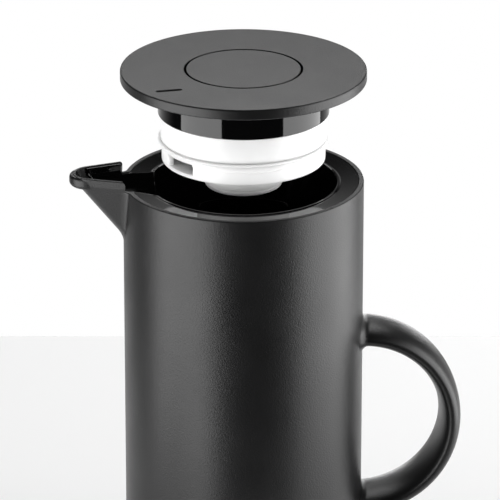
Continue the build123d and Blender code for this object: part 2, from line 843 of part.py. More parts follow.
def valve_disc():
    """Stiff plate that carries the washer against the nose."""
    hole = neck_radius + running_fit
    return turned([
        (hole, valve_bottom_z, 0),
        (valve_radius - valve_bevel, valve_bottom_z, corner_round),
        (valve_radius, valve_top_z - valve_edge, soft_round),
        (valve_radius, valve_top_z, 0),
        (hole, valve_top_z, 0),
    ])


def valve_washer_ring():
    """Soft washer that closes the nose from below."""
    hole = neck_radius + running_fit
    return turned([
        (hole, valve_top_z, 0),
        (valve_radius, valve_top_z, 0),
        (valve_radius, washer_top_z, soft_round),
        (hole, washer_top_z, 0),
    ])


def stem_clip():
    """Open clip in the stem's groove that holds the valve plate up."""
    low = valve_bottom_z - clip_thickness
    clip = ring(clip_radius, stem_radius - clip_groove, low, valve_bottom_z)
    mouth = Pos(clip_radius, 0, low) * Box(2 * clip_radius, clip_mouth, 4 * clip_thickness)
    return clip - mouth


def return_spring():
    """Spring round the stem, between the bush's flange and the button."""
    slack = spring_wire + moving_gap / 2
    low = skirt_floor_z + slack
    high = disc_top_z - button_plate - slack
    pitch = (high - low) / spring_turns
    path = Pos(0, 0, low) * Helix(pitch, high - low, spring_coil_radius)
    section = Plane(origin=path @ 0, z_dir=path % 0) * RegularPolygon(spring_wire, 6)
    return sweep(section, path, is_frenet=True)


PIECES = {
    "outer_shell": outer_shell,
    "handle": handle,
    "pouring_collar": pouring_collar,
    "collar_gasket": collar_gasket,
    "liner_outer_glass": liner_outer_glass,
    "liner_inner_glass": liner_inner_glass,
    "liner_spacers": liner_spacers,
    "liner_cushion": liner_cushion,
    "shoulder_ring": shoulder_ring,
    "base_cover": base_cover,
    "base_screws": base_screws,
    "base_pad": base_pad,
    "lid_disc": lid_disc,
    "lid_skirt": lid_skirt,
    "lid_screws": lid_screws,
    "stopper_body": stopper_body,
    "stopper_o_ring": stopper_o_ring,
    "nose_seal": nose_seal,
    "stem_bush": stem_bush,
    "stem_seal": stem_seal,
    "lip_seal": lip_seal,
    "button_cap": button_cap,
    "valve_stem": valve_stem,
    "valve_disc": valve_disc,
    "valve_washer": valve_washer_ring,
    "stem_clip": stem_clip,
    "return_spring": return_spring,
}

if __name__ == "__main__":
    os.makedirs("parts", exist_ok=True)
    for name, build in PIECES.items():
        export_step(build(), f"parts/{name}.step")
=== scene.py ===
"""Looks of a one litre vacuum jug with a beak spout, a ring handle and a lift-out stopper lid.

Sizes held by the classes are millimetres, as on a maker's drawing. Meshes are made in metres in the
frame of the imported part: +Z is up, the spout points along -X and the handle along +X. A turn is an
angle about the jug's axis, in radians, counted from the spout.
"""

import logging
from dataclasses import dataclass, field
from enum import Enum
from math import asin, cos, pi, radians, sin, tan

import bmesh
import bpy
import numpy as np
from mathutils import Matrix

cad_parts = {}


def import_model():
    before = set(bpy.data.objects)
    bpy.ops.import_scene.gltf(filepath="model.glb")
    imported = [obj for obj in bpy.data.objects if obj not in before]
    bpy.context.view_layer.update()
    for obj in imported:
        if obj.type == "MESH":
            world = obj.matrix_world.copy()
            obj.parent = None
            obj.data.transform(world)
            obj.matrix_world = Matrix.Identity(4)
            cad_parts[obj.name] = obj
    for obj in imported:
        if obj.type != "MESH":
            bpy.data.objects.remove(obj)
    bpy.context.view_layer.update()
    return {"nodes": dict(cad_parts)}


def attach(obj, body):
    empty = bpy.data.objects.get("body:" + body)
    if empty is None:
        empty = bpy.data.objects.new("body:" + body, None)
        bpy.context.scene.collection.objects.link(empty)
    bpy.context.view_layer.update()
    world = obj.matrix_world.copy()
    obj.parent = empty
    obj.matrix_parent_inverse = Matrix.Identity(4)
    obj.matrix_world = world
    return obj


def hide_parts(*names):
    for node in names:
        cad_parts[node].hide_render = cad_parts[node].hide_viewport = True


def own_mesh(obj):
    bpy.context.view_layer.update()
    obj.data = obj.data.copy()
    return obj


log = logging.getLogger("jug")

MM = 0.001
Outline = list[tuple[float, float, float]]
Socket = bpy.types.NodeSocket

RIM = 240.0              # rim of the outer shell
SHELL_RADIUS = 59.0
SHELL_BORE = 56.6
LEDGE_BORE = 55.4
LEDGE = 229.0            # step that carries the pouring collar
LID = 292.0              # underside of the lifted lid's disc
DISC_TOP = 297.2
STOPPER_TOP = 275.4
STOPPER_FOOT = 251.5
NOSE_END = 240.9
FLOOR_TOP = 199.2        # floor of the pouring collar
FLOOR_UNDER = 197.2
FLASK_TOP = 195.2
NOTCH_RADIUS = 60.6      # clears the lid's disc
NOTCH_ROUND = 1.8
WINDOW_TURN = radians(35.0)
LID_DROP = 9.0           # depth of the button's well and of the lid's posts under LID
SAME_POINT = 1e-4        # points nearer than this count as one
HAIR = 0.01              # keeps two rows of a grid apart
PLAY = 0.05              # between a ring and what it sits on
NO_LENGTH = 1e-9         # keeps a division from failing
NO_ANGLE = 1e-6
MERGE_DISTANCE = 2e-6    # in metres
CRISP_ANGLE = radians(32.0)


class Body(Enum):
    """Moving bodies of the part."""

    JUG = "jug"
    LIP_SEAL = "lip_seal"
    LID = "lid"
    BUTTON = "button"


# ---------------------------------------------------------------------------- finishes
CLOUD_RANGE = (0.3, 0.7)     # values between which the slow noise mostly runs
CLOUD_DETAIL = 4.0
GRAIN_DETAIL = 2.0


@dataclass(frozen=True)
class Finish:
    """One surface finish: a principled shader with cloudy tone, cloudy gloss and a fine grain.

    Tone and roughness each swing by a share of their value on a slow noise; the grain is a bump
    from a fine noise. All noises read Object coordinates.
    """

    slot: str
    colour: tuple[float, float, float]
    roughness: float
    tone_swing: float = 0.1
    gloss_swing: float = 0.08
    cloud: float = 35.0
    grain: float = 2500.0
    grain_depth: float = 0.00001
    specular: float = 0.5
    metallic: float = 0.0
    transmission: float = 0.0
    subsurface: float = 0.0
    depth: float = 0.002
    coat: float = 0.0
    sheen: float = 0.0
    ior: float = 1.5

    def build(self) -> bpy.types.Material:
        """Makes the material once and hands the same one out afterwards.

        Returns:
            The material, named after the slot.
        """
        name = f"{self.slot}_finish"
        found = bpy.data.materials.get(name)
        if found is not None:
            return found
        material = bpy.data.materials.new(name)
        material.use_nodes = True
        nodes = material.node_tree.nodes
        shader = nodes["Principled BSDF"]
        values = {
            "Metallic": self.metallic,
            "IOR": self.ior,
            "Specular IOR Level": self.specular,
            "Transmission Weight": self.transmission,
            "Subsurface Weight": self.subsurface,
            "Subsurface Scale": self.depth,
            "Subsurface Radius": (1.0, 1.0, 1.0),
            "Coat Weight": self.coat,
            "Sheen Weight": self.sheen,
        }
        for socket, value in values.items():
            shader.inputs[socket].default_value = value
        place = nodes.new("ShaderNodeTexCoord").outputs["Object"]
        cloud = self._noise(material, place, self.cloud, CLOUD_DETAIL)
        self._link(material, self._colour(material, cloud), shader.inputs["Base Color"])
        gloss = self._spread(material, cloud, self.roughness, self.gloss_swing)
        self._link(material, gloss, shader.inputs["Roughness"])
        self._link(material, self._bump(material, place), shader.inputs["Normal"])
        return material

    def _link(self, material: bpy.types.Material, start: Socket, end: Socket) -> None:
        """Joins an output socket to an input socket."""
        material.node_tree.links.new(start, end)

    def _noise(self, material: bpy.types.Material, place: Socket, scale: float, detail: float) -> Socket:
        """Adds a noise.

        Args:
            material: The material.
            place: Coordinates that the noise reads.
            scale: Waves to the metre.
            detail: Number of finer layers.

        Returns:
            The noise's value.
        """
        node = material.node_tree.nodes.new("ShaderNodeTexNoise")
        node.inputs["Scale"].default_value = scale
        node.inputs["Detail"].default_value = detail
        self._link(material, place, node.inputs["Vector"])
        return node.outputs["Fac"]

    def _spread(self, material: bpy.types.Material, factor: Socket, middle: float, swing: float) -> Socket:
        """Adds a value that runs from middle less its swing to middle plus it.

        Args:
            material: The material.
            factor: Value that moves it.
            middle: Its middle.
            swing: Share of the middle by which it moves each way.

        Returns:
            The value.
        """
        node = material.node_tree.nodes.new("ShaderNodeMapRange")
        node.inputs["From Min"].default_value, node.inputs["From Max"].default_value = CLOUD_RANGE
        node.inputs["To Min"].default_value = middle * (1 - swing)
        node.inputs["To Max"].default_value = middle * (1 + swing)
        self._link(material, factor, node.inputs["Value"])
        return node.outputs["Result"]

    def _colour(self, material: bpy.types.Material, cloud: Socket) -> Socket:
        """Adds the tone, darker and lighter with the cloud.

        Args:
            material: The material.
            cloud: Value of the slow noise.

        Returns:
            The colour.
        """
        node = material.node_tree.nodes.new("ShaderNodeMix")
        node.data_type = "RGBA"
        dark = [part * (1 - self.tone_swing) for part in self.colour] + [1.0]
        light = [min(1.0, part * (1 + self.tone_swing)) for part in self.colour] + [1.0]
        node.inputs["A"].default_value = dark
        node.inputs["B"].default_value = light
        self._link(material, cloud, node.inputs["Factor"])
        return node.outputs["Result"]

    def _bump(self, material: bpy.types.Material, place: Socket) -> Socket:
        """Adds the grain.

        Args:
            material: The material.
            place: Coordinates that the grain reads.

        Returns:
            The bumped normal.
        """
        grain = self._noise(material, place, self.grain, GRAIN_DETAIL)
        node = material.node_tree.nodes.new("ShaderNodeBump")
        node.inputs["Distance"].default_value = self.grain_depth
        node.inputs["Strength"].default_value = 1.0
        self._link(material, grain, node.inputs["Height"])
        return node.outputs["Normal"]


MATTE_BLACK = Finish("shell_matte_black", (0.004, 0.004, 0.0042), 0.36, grain=1400.0, grain_depth=0.00011)
GLOSS_BLACK = Finish("gloss_black", (0.0015, 0.0015, 0.0016), 0.05, grain=900.0, grain_depth=0.000001)
WHITE = Finish("stopper_white", (0.90, 0.90, 0.895), 0.32, 0.02, subsurface=1.0, depth=0.005,
               grain_depth=0.000004)
GUIDE_WHITE = Finish("white_guide", (0.80, 0.80, 0.78), 0.38, 0.03, grain_depth=0.000004)
GREY_SILICONE = Finish("silicone_grey", (0.86, 0.86, 0.85), 0.5, 0.03, subsurface=0.6, depth=0.004)
WHITE_SILICONE = Finish("silicone_white", (0.84, 0.84, 0.835), 0.42, 0.02, subsurface=1.0, depth=0.006)
BLACK_SILICONE = Finish("silicone_black", (0.02, 0.02, 0.02), 0.6, 0.15)
SILVERED = Finish("silvered_glass", (0.86, 0.86, 0.85), 0.06, 0.03, metallic=1.0, coat=1.0, grain=60.0)
FELT = Finish("spacer_felt", (0.55, 0.53, 0.48), 0.9, 0.25, grain_depth=0.00008, sheen=0.4)
FOAM = Finish("foam", (0.08, 0.08, 0.085), 0.9, 0.3, grain=1800.0, grain_depth=0.0001, sheen=0.2)
BASE_PLASTIC = Finish("base_plastic", (0.018, 0.018, 0.019), 0.5, grain=1600.0, grain_depth=0.00003)
STEEL = Finish("screw_steel", (0.60, 0.59, 0.57), 0.3, 0.1, metallic=1.0, cloud=300.0)

KEPT_NODES = {
    "collar_gasket": GREY_SILICONE,
    "liner_outer_glass": SILVERED,
    "liner_spacers": FELT,
    "liner_cushion": FOAM,
    "shoulder_ring": FOAM,
    "base_screws": STEEL,
    "lid_screws": STEEL,
    "stopper_o_ring": BLACK_SILICONE,
    "stem_bush": GUIDE_WHITE,
    "stem_seal": BLACK_SILICONE,
    "stem_clip": STEEL,
}


# ---------------------------------------------------------------------------- surfaces
def rounded(outline: Outline, closed: bool = True, steps: int = 6, hold: float = 0.25,
            hold_share: float = 0.3) -> np.ndarray:
    """Profile of straight runs with an arc at each corner.

    An arc of radius q at a corner of half angle h starts q / tan(h) along each run, about a centre
    q / sin(h) along the bisector; its points blend the two end spokes by the sines of their shares
    of the arc's angle. A holding point stands a little way along each run from a round corner, so
    that flats are shaded flat.

    Args:
        outline: Corners as (radius, height, corner round).
        closed: Whether the last corner joins the first.
        steps: Pieces in each arc.
        hold: Distance of the holding points.
        hold_share: Largest share of a run's straight part that this distance may take.

    Returns:
        Array of (radius, height) points.
    """
    corners = np.array(outline, float)
    spots, rounds = corners[:, :2], corners[:, 2]
    back = np.roll(spots, 1, 0) - spots
    ahead = np.roll(spots, -1, 0) - spots
    back_length = np.linalg.norm(back, axis=1, keepdims=True)
    ahead_length = np.linalg.norm(ahead, axis=1, keepdims=True)
    back, ahead = back / back_length, ahead / ahead_length
    half = np.arccos(np.clip((back * ahead).sum(1), NO_ANGLE - 1, 1 - NO_ANGLE)) / 2
    cut = (rounds / np.tan(half))[:, None]
    bisector = back + ahead
    bisector /= np.maximum(np.linalg.norm(bisector, axis=1, keepdims=True), NO_LENGTH)
    centre = spots + bisector * (rounds / np.sin(half))[:, None]
    first, last = spots + back * cut - centre, spots + ahead * cut - centre
    share = np.linspace(0, 1, steps + 1)[None, :, None]
    sweep = np.maximum(pi - 2 * half, NO_ANGLE)[:, None, None]
    leaving, coming = np.sin((1 - share) * sweep), np.sin(share * sweep)
    arc = (leaving * first[:, None] + coming * last[:, None]) / np.sin(sweep) + centre[:, None]
    reach = hold * (rounds > 0)[:, None]
    before = arc[:, 0] + back * np.minimum(reach, hold_share * (back_length - cut - np.roll(cut, 1, 0)))
    after = arc[:, -1] + ahead * np.minimum(reach, hold_share * (ahead_length - cut - np.roll(cut, -1, 0)))
    points = np.concatenate([before[:, None], arc, after[:, None]], axis=1).reshape(-1, 2)
    previous = points[-1:] + (0 if closed else 1)
    gaps = np.linalg.norm(np.diff(points, axis=0, prepend=previous), axis=1)
    return points[gaps > SAME_POINT]


def even_turns(count: int = 180) -> np.ndarray:
    """Returns that many turns, evenly spaced round the axis."""
    return np.linspace(-pi, pi, count, endpoint=False)


def finer_turns(middle: float, half_width: float, step: float, count: int = 150) -> np.ndarray:
    """Turns that stand closer together over one span.

    Args:
        middle: Middle of the span.
        half_width: Half of the span.
        step: Spacing within it.
        count: Number of turns over the rest of the circle.

    Returns:
        Sorted turns that include both ends of the span.
    """
    inner = np.linspace(-half_width, half_width, int(np.ceil(2 * half_width / step)) + 1)
    outer = np.linspace(half_width, 2 * pi - half_width, count + 1)[1:-1]
    return middle + np.concatenate([inner, outer])


def carried_round(profile: np.ndarray, turns: np.ndarray) -> np.ndarray:
    """Carries a profile round the axis: x = -r cos t, y = -r sin t, z = height.

    Args:
        profile: (radius, height) points.
        turns: Turns from the spout.

    Returns:
        Array of rows x turns x 3.
    """
    return spun(profile[:, :1], profile[:, 1:], turns)


def spun(radius: np.ndarray, height: np.ndarray, turn: np.ndarray) -> np.ndarray:
    """Stacks x = -r cos t, y = -r sin t and z = height, from arrays that fit one another."""
    radius, height, turn = np.broadcast_arrays(radius, height, turn)
    return np.stack([-radius * np.cos(turn), -radius * np.sin(turn), height], axis=-1)


def weave(rows: int, columns: int, close_rows: bool, close_columns: bool = True) -> np.ndarray:
    """Four-cornered faces between neighbouring points of a grid.

    Args:
        rows: Number of rows.
        columns: Number of columns.
        close_rows: Whether the last row joins the first.
        close_columns: Whether the last column joins the first.

    Returns:
        Array of faces x 4 point numbers, row after row.
    """
    row = np.arange(rows if close_rows else rows - 1)[:, None]
    column = np.arange(columns if close_columns else columns - 1)[None, :]
    next_row, next_column = (row + 1) % rows, (column + 1) % columns
    corners = [row * columns + column, row * columns + next_column,
               next_row * columns + next_column, next_row * columns + column]
    return np.stack(corners, axis=-1).reshape(-1, 4)


def smooth_max(first: np.ndarray, second: np.ndarray, blend: float) -> np.ndarray:
    """The larger of two values, with a round valley where they come within blend of one another.

    With h = 1 - |a - b| / blend, not under 0, the result is max(a, b) + h * h * blend / 4.
    """
    near = np.maximum(1 - np.abs(first - second) / blend, 0)
    return np.maximum(first, second) + near ** 2 * blend / 4


def smooth_step(value: np.ndarray) -> np.ndarray:
    """Rises from 0 to 1 as 3 v^2 - 2 v^3 while the value runs from 0 to 1."""
    value = np.clip(value, 0, 1)
    return value * value * (3 - 2 * value)


def quarter_round(depth: np.ndarray, radius: float) -> np.ndarray:
    """How far an edge of that round stands back, depth below its top: q - sqrt(q^2 - (q - d)^2)."""
    left = np.clip(radius - depth, 0, radius)
    return radius - np.sqrt(np.maximum(radius ** 2 - left ** 2, 0))


def make_object(name: str, points: np.ndarray, faces: np.ndarray) -> bpy.types.Object:
    """Puts points and faces into a smooth-shaded object.

    Doubled points at poles and seams are merged, faces are turned outward, and edges sharper than
    the crisp angle stay crisp.

    Args:
        name: The object's name.
        points: Array of any shape x 3, in millimetres.
        faces: Array of faces x 4 point numbers.

    Returns:
        The linked object, at the origin.
    """
    mesh = bpy.data.meshes.new(name)
    flat = points.reshape(-1, 3) * MM
    mesh.vertices.add(len(flat))
    mesh.vertices.foreach_set("co", flat.astype(np.float32).ravel())
    mesh.loops.add(faces.size)
    mesh.loops.foreach_set("vertex_index", faces.astype(np.int32).ravel())
    mesh.polygons.add(len(faces))
    mesh.polygons.foreach_set("loop_start", np.arange(0, faces.size, 4, dtype=np.int32))
    mesh.update(calc_edges=True)
    shape = bmesh.new()
    shape.from_mesh(mesh)
    bmesh.ops.remove_doubles(shape, verts=shape.verts, dist=MERGE_DISTANCE)
    bmesh.ops.recalc_face_normals(shape, faces=shape.faces)
    shape.to_mesh(mesh)
    shape.free()
    mesh.polygons.foreach_set("use_smooth", np.ones(len(mesh.polygons), bool))
    mesh.set_sharp_from_angle(angle=CRISP_ANGLE)
    piece = bpy.data.objects.new(name, mesh)
    bpy.context.scene.collection.objects.link(piece)
    return piece


def dress(piece: bpy.types.Object, finish: Finish, body: Body, *nodes: str) -> bpy.types.Object:
    """Gives a new piece its finish, its body and the nodes it stands for.

    Args:
        piece: The object.
        finish: Its finish.
        body: The body it moves with.
        nodes: Names of the construction nodes it replaces.

    Returns:
        The same object.
    """
    piece.data.materials.clear()
    piece.data.materials.append(finish.build())
    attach(piece, body.value)
    if nodes:
        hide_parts(*nodes)
    log.info("%s: %d faces on %s", piece.name, len(piece.data.polygons), body.value)
    return piece


def turned(name: str, outline: Outline, closed: bool = True,
           turns: np.ndarray | None = None) -> bpy.types.Object:
    """Makes a turned piece from its rounded outline.

    Args:
        name: The object's name.
        outline: Corners as (radius, height, corner round).
        closed: False where the outline starts and ends on the axis.
        turns: Turns of its columns, even ones unless given.

    Returns:
        The object.
    """
    profile = rounded(outline, closed)
    turns = even_turns() if turns is None else turns
    return make_object(name, carried_round(profile, turns), weave(len(profile), len(turns), closed))


def posts(name: str, centres: list[tuple[float, float]], outline: Outline,
          sides: int = 36) -> bpy.types.Object:
    """Makes one object of equal round posts, each with its own upright axis.

    Args:
        name: The object's name.
        centres: Middles of the posts.
        outline: Corners from axis to axis, as (radius, height, corner round).
        sides: Columns of each post.

    Returns:
        The object.
    """
    profile = rounded(outline, closed=False, steps=3)
    one = carried_round(profile, even_turns(sides))
    shifts = np.array([(x, y, 0.0) for x, y in centres])
    points = one.reshape(1, -1, 3) + shifts[:, None, :]
    faces = weave(len(profile), sides, False)
    starts = np.arange(len(centres))[:, None, None] * one[..., 0].size
    return make_object(name, points, (faces[None] + starts).reshape(-1, 4))


def on_circle(count: int, radius: float, start: float) -> list[tuple[float, float]]:
    """Returns the middles of equal pieces on a circle; start is the first one's angle in degrees."""
    angles = [radians(start) + 2 * pi * step / count for step in range(count)]
    return [(radius * cos(angle), radius * sin(angle)) for angle in angles]


# ---------------------------------------------------------------------------- jug
@dataclass(frozen=True)
class Beak:
    """Form of the spout: at each height two straight cheeks and a round nose.

    The outline moves out along the keel as it rises, and an inset moves every wall inward.
    """

    rise: float = 5.2
    foot: float = 207.0
    slope: float = radians(51.0)
    keel_tip: float = 82.6
    keel_top: float = 241.5
    flare: float = 1.0
    nose: float = 10.0
    cheek: float = radians(18.2)
    zone: float = radians(70.0)      # turns past it have no spout

    def tip(self, height: np.ndarray, inset: np.ndarray) -> np.ndarray:
        """Reach of the nose: a straight keel up to keel_top, then a slight flare.

        Args:
            height: Heights.
            inset: How far the wall stands inside the outer one.

        Returns:
            Distances from the jug's axis.
        """
        start = self.keel_tip - inset / sin(self.slope)
        keel = start - (self.keel_top - height) / tan(self.slope)
        share = (height - self.keel_top) / (RIM + self.rise - self.keel_top)
        crown = start + share * (self.keel_tip + self.flare - inset - start)
        return np.where(height < self.keel_top, keel, crown)

    def reach(self, turn: np.ndarray, height: np.ndarray, inset: np.ndarray) -> np.ndarray:
        """Radius of the beak's wall at a turn and height.

        The nose is c cos t + sqrt(q^2 - c^2 sin^2 t), for a circle of radius q about c on the
        middle plane; a cheek is (c sin k + q) / sin(t + k), for a line at k from that plane.

        Args:
            turn: Turns from the middle plane.
            height: Heights.
            inset: How far the wall stands inside the outer one.

        Returns:
            Radii, 0 where there is no spout.
        """
        radius = self.nose - inset
        middle = self.tip(height, inset) - radius
        side = np.abs(turn)
        nose = middle * np.cos(side) + np.sqrt(np.maximum(radius ** 2 - (middle * np.sin(side)) ** 2, 0))
        line = middle * sin(self.cheek) + radius
        cheek = line / np.sin(np.minimum(side, self.zone) + self.cheek)
        touch = np.arctan2(radius * cos(self.cheek), middle + radius * sin(self.cheek))
        wall = np.where(side < touch, nose, cheek)
        return np.where((side < self.zone) & (height >= self.foot - SAME_POINT), wall, 0.0)

    def turn_at(self, radius: np.ndarray, height: np.ndarray, inset: np.ndarray) -> np.ndarray:
        """Turn at which a cheek crosses a circle of that radius: asin(line / radius) - k."""
        inner = self.nose - inset
        line = (self.tip(height, inset) - inner) * sin(self.cheek) + inner
        return np.arcsin(np.clip(line / radius, -1, 1)) - self.cheek

    def height_at(self, turn: np.ndarray, radius: float, inset: float) -> np.ndarray:
        """Height at which the keel part of the wall reaches a radius, the inverse of reach.

        Args:
            turn: Turns from the middle plane.
            radius: The radius.
            inset: How far the wall stands inside the outer one.

        Returns:
            Heights.
        """
        inner = self.nose - inset
        side = np.abs(turn)
        nose = radius * np.cos(side) - np.sqrt(np.maximum(inner ** 2 - (radius * np.sin(side)) ** 2, 0))
        cheek = (radius * np.sin(side + self.cheek) - inner) / sin(self.cheek)
        touch = np.arctan2(inner * cos(self.cheek), cheek + inner * sin(self.cheek))
        middle = np.where(side < touch, nose, cheek)
        start = self.keel_tip - inset / sin(self.slope)
        return self.keel_top - (start - middle - inner) * tan(self.slope)


def warped(base: np.ndarray, base_end: float, end: np.ndarray) -> np.ndarray:
    """Turns of one or more rows, stretched so that the spout's zone ends where each row needs it.

    Args:
        base: Turns of the columns, from -pi to pi.
        base_end: End of the spout's zone in them.
        end: End of the zone in each row, a column vector.

    Returns:
        Array of rows x columns: straight-line stretch inside the zone and outside it.
    """
    side = np.abs(base)
    inside = side / base_end * end
    outside = end + (side - base_end) / (pi - base_end) * (pi - end)
    return np.sign(base) * np.where(side <= base_end, inside, outside)


@dataclass(frozen=True)
class OuterShell:
    """Barrel and spout in one moulding, with the screw bosses in its foot."""

    beak: Beak = field(default_factory=Beak)
    wall: float = 1.5                # of the spout
    root_blend: float = 3.2
    hollow_blend: float = 0.4
    rim_round: float = 0.6
    bore_round: float = 0.3          # of the rim's inner edge
    edge_round: float = 0.45
    foot: float = 0.8                # lower edge of the barrel
    foot_round: float = 1.6
    foot_step: float = 9.0           # up to which the bore is wide again
    lip_radius: float = 9.4
    lip_reach: float = 85.3
    lip_foot: float = 239.0
    lip_under_round: float = 2.4
    lip_top_round: float = 2.0
    lip_blend: float = 0.7
    columns_in_spout: int = 121
    columns_near: int = 34           # beside the spout's zone, in growing steps
    columns_far: int = 90
    climb_rows: int = 18             # up and down the spout's side walls above the rim
    bend_rows: int = 5               # over each half of their rounded edge
    near_span: tuple[float, float] = (radians(0.12), radians(14))
    boss_circle: float = 50.2
    boss_radius: float = 4.2
    boss_bore: float = 1.5
    boss_span: tuple[float, float] = (5.0, 15.0)
    boss_bore_end: float = 12.5

    def turns(self) -> tuple[np.ndarray, float]:
        """Places the columns, closer together at the spout's root.

        Returns:
            The base turns and the end of the spout's zone in them.
        """
        end = float(self.beak.turn_at(NOTCH_RADIUS, RIM - self.rim_round, 0.0))
        inside = np.linspace(-end, end, self.columns_in_spout)
        near = end + np.geomspace(*self.near_span, self.columns_near)
        far = np.linspace(near[-1], pi, self.columns_far)[1:]
        return np.concatenate([-far[::-1][1:], -near[::-1], inside, near, far]), end

    def lip(self, turn: np.ndarray, height: np.ndarray) -> np.ndarray:
        """Radius of the pouring lip: a disc about a point on the middle plane, round below and above.

        Args:
            turn: Turns from the middle plane.
            height: Heights.

        Returns:
            Radii, 0 where there is no lip.
        """
        top = RIM + self.beak.rise
        under = quarter_round(height - self.lip_foot, self.lip_under_round)
        over = quarter_round(top - height, self.lip_top_round)
        radius = self.lip_radius - under - over
        middle = self.lip_reach - self.lip_radius
        inside = radius ** 2 - (middle * np.sin(turn)) ** 2
        reach = middle * np.cos(turn) + np.sqrt(np.maximum(inside, 0))
        there = (inside > 0) & (height > self.lip_foot) & (np.abs(turn) < self.beak.zone)
        return np.where(there, reach, 0.0)

    def outside(self, base: np.ndarray, end: float) -> np.ndarray:
        """Rows up the outer wall: the smooth maximum of the barrel's radius and the beak's reach.

        Args:
            base: Base turns.
            end: End of the spout's zone in them.

        Returns:
            Array of rows x columns x 3.
        """
        edge = self.foot_round * np.array([0, 1 / 16, 3 / 16, 3 / 8, 5 / 8, 1, 11 / 8])
        plain, spout = self.beak.foot - 7, self.beak.foot - 5
        heights = np.concatenate([
            self.foot + edge, np.linspace(self.foot_step - 3, plain, 24),
            np.linspace(spout, RIM - self.rim_round, 60)])[:, None]
        turn = warped(base, end, np.full_like(heights, end))
        beak = smooth_max(self.beak.reach(turn, heights, 0.0), self.lip(turn, heights), self.lip_blend)
        barrel = SHELL_RADIUS - quarter_round(heights - self.foot, self.foot_round)
        return spun(smooth_max(barrel, beak, self.root_blend), heights, turn)

    def inside(self, base: np.ndarray) -> np.ndarray:
        """Rows down the inner wall: bore, ledge and foot step, opened by the beak's hollow.

        Args:
            base: Base turns.

        Returns:
            Array of rows x columns x 3.
        """
        high, soft = RIM - self.bore_round, self.bore_round
        path = rounded([
            (SHELL_BORE, high, 0), (SHELL_BORE, LEDGE, 0), (LEDGE_BORE, LEDGE, 0),
            (LEDGE_BORE, self.foot_step, 0), (SHELL_BORE, self.foot_step, 0),
            (SHELL_BORE, self.foot + soft, 0), (SHELL_BORE + soft, self.foot, 0)], closed=False)
        upper = np.linspace(high, LEDGE, 24)[:-1]
        lower = np.linspace(LEDGE, self.beak.foot - 2, 36)[1:]
        rows = np.concatenate([
            np.stack([np.full_like(upper, SHELL_BORE), upper], 1), path[1:3],
            np.stack([np.full_like(lower, LEDGE_BORE), lower], 1), path[3:]])
        turn = self.inner_turn(base)
        hollow = self.beak.reach(turn, rows[:, 1:], self.wall)
        return spun(smooth_max(rows[:, :1], hollow, self.hollow_blend), rows[:, 1:], turn)

    def inner_turn(self, base: np.ndarray) -> np.ndarray:
        """Returns the turns of the rows on the inner wall."""
        end = self.beak.turn_at(NOTCH_RADIUS, RIM - self.bore_round, self.wall)
        return warped(base, self.turns()[1], np.array([[float(end)]]))

    def crest(self, base: np.ndarray, end: float, start: np.ndarray, finish: np.ndarray) -> np.ndarray:
        """Rows over the top edge.

        In the spout's zone they climb the outer wall, cross its rounded edge and come down the
        inner wall, each from one notch face to the other. Elsewhere they cross the rim, from the
        last outer row to the first inner one.

        Args:
            base: Base turns.
            end: End of the spout's zone in them.
            start: Last row of the outer wall.
            finish: First row of the inner wall.

        Returns:
            Array of rows x columns x 3.
        """
        top = RIM + self.beak.rise
        edge = self.edge_round
        low = RIM - self.rim_round
        climb = np.linspace(RIM, top - edge, self.climb_rows)
        climb = np.concatenate([[low, RIM - self.bore_round], climb])
        bend = np.linspace(0, pi / 2, self.bend_rows + 1)[1:]
        rise, fall = edge * np.sin(bend), edge * np.cos(bend)
        height = np.concatenate([climb, top - edge + rise, top - edge + fall, climb[::-1][1:-1]])[:, None]
        inset = np.concatenate([
            0 * climb, edge - fall, self.wall - edge + rise, self.wall + 0 * climb[1:-1]])[:, None]
        circle = NOTCH_RADIUS + quarter_round(top - height, NOTCH_ROUND)
        turn = warped(base, end, self.beak.turn_at(circle, height, inset))
        reach = self.beak.reach(turn, height, inset)
        fading = SHELL_RADIUS - 4 * (height - low)      # lets the root's blend die out above the rim
        beak = smooth_max(reach, self.lip(turn, height), self.lip_blend)
        outer = smooth_max(beak, fading, self.root_blend)
        walls = spun(np.where(inset < SAME_POINT, outer, reach), height, turn)
        share = (1 - np.cos(np.linspace(0, pi, len(height))))[:, None, None] / 2
        across = start[None] * (1 - share) + finish[None] * share
        width = SHELL_RADIUS - SHELL_BORE
        drop = quarter_round(share * width, self.rim_round)
        drop += quarter_round((1 - share) * width, self.bore_round)
        across[..., 2:] = RIM - drop
        return np.where((np.abs(base) <= end + NO_ANGLE)[None, :, None], walls, across)

    def build(self) -> None:
        """Makes the shell and its bosses."""
        base, end = self.turns()
        outside, inside = self.outside(base, end), self.inside(base)
        crest = self.crest(base, end, outside[-1], inside[0])
        points = np.concatenate([outside, crest, inside])
        shell = make_object("barrel_and_spout", points, weave(len(points), len(base), True))
        dress(shell, MATTE_BLACK, Body.JUG, "outer_shell")
        low, high = self.boss_span
        bosses = posts("foot_bosses", on_circle(3, self.boss_circle, 90), [
            (0, self.boss_bore_end, 0), (self.boss_bore, self.boss_bore_end, 0), (self.boss_bore, low, 0),
            (self.boss_radius, low, 0), (self.boss_radius, high, 0.5), (0, high, 0)])
        dress(bosses, MATTE_BLACK, Body.JUG)


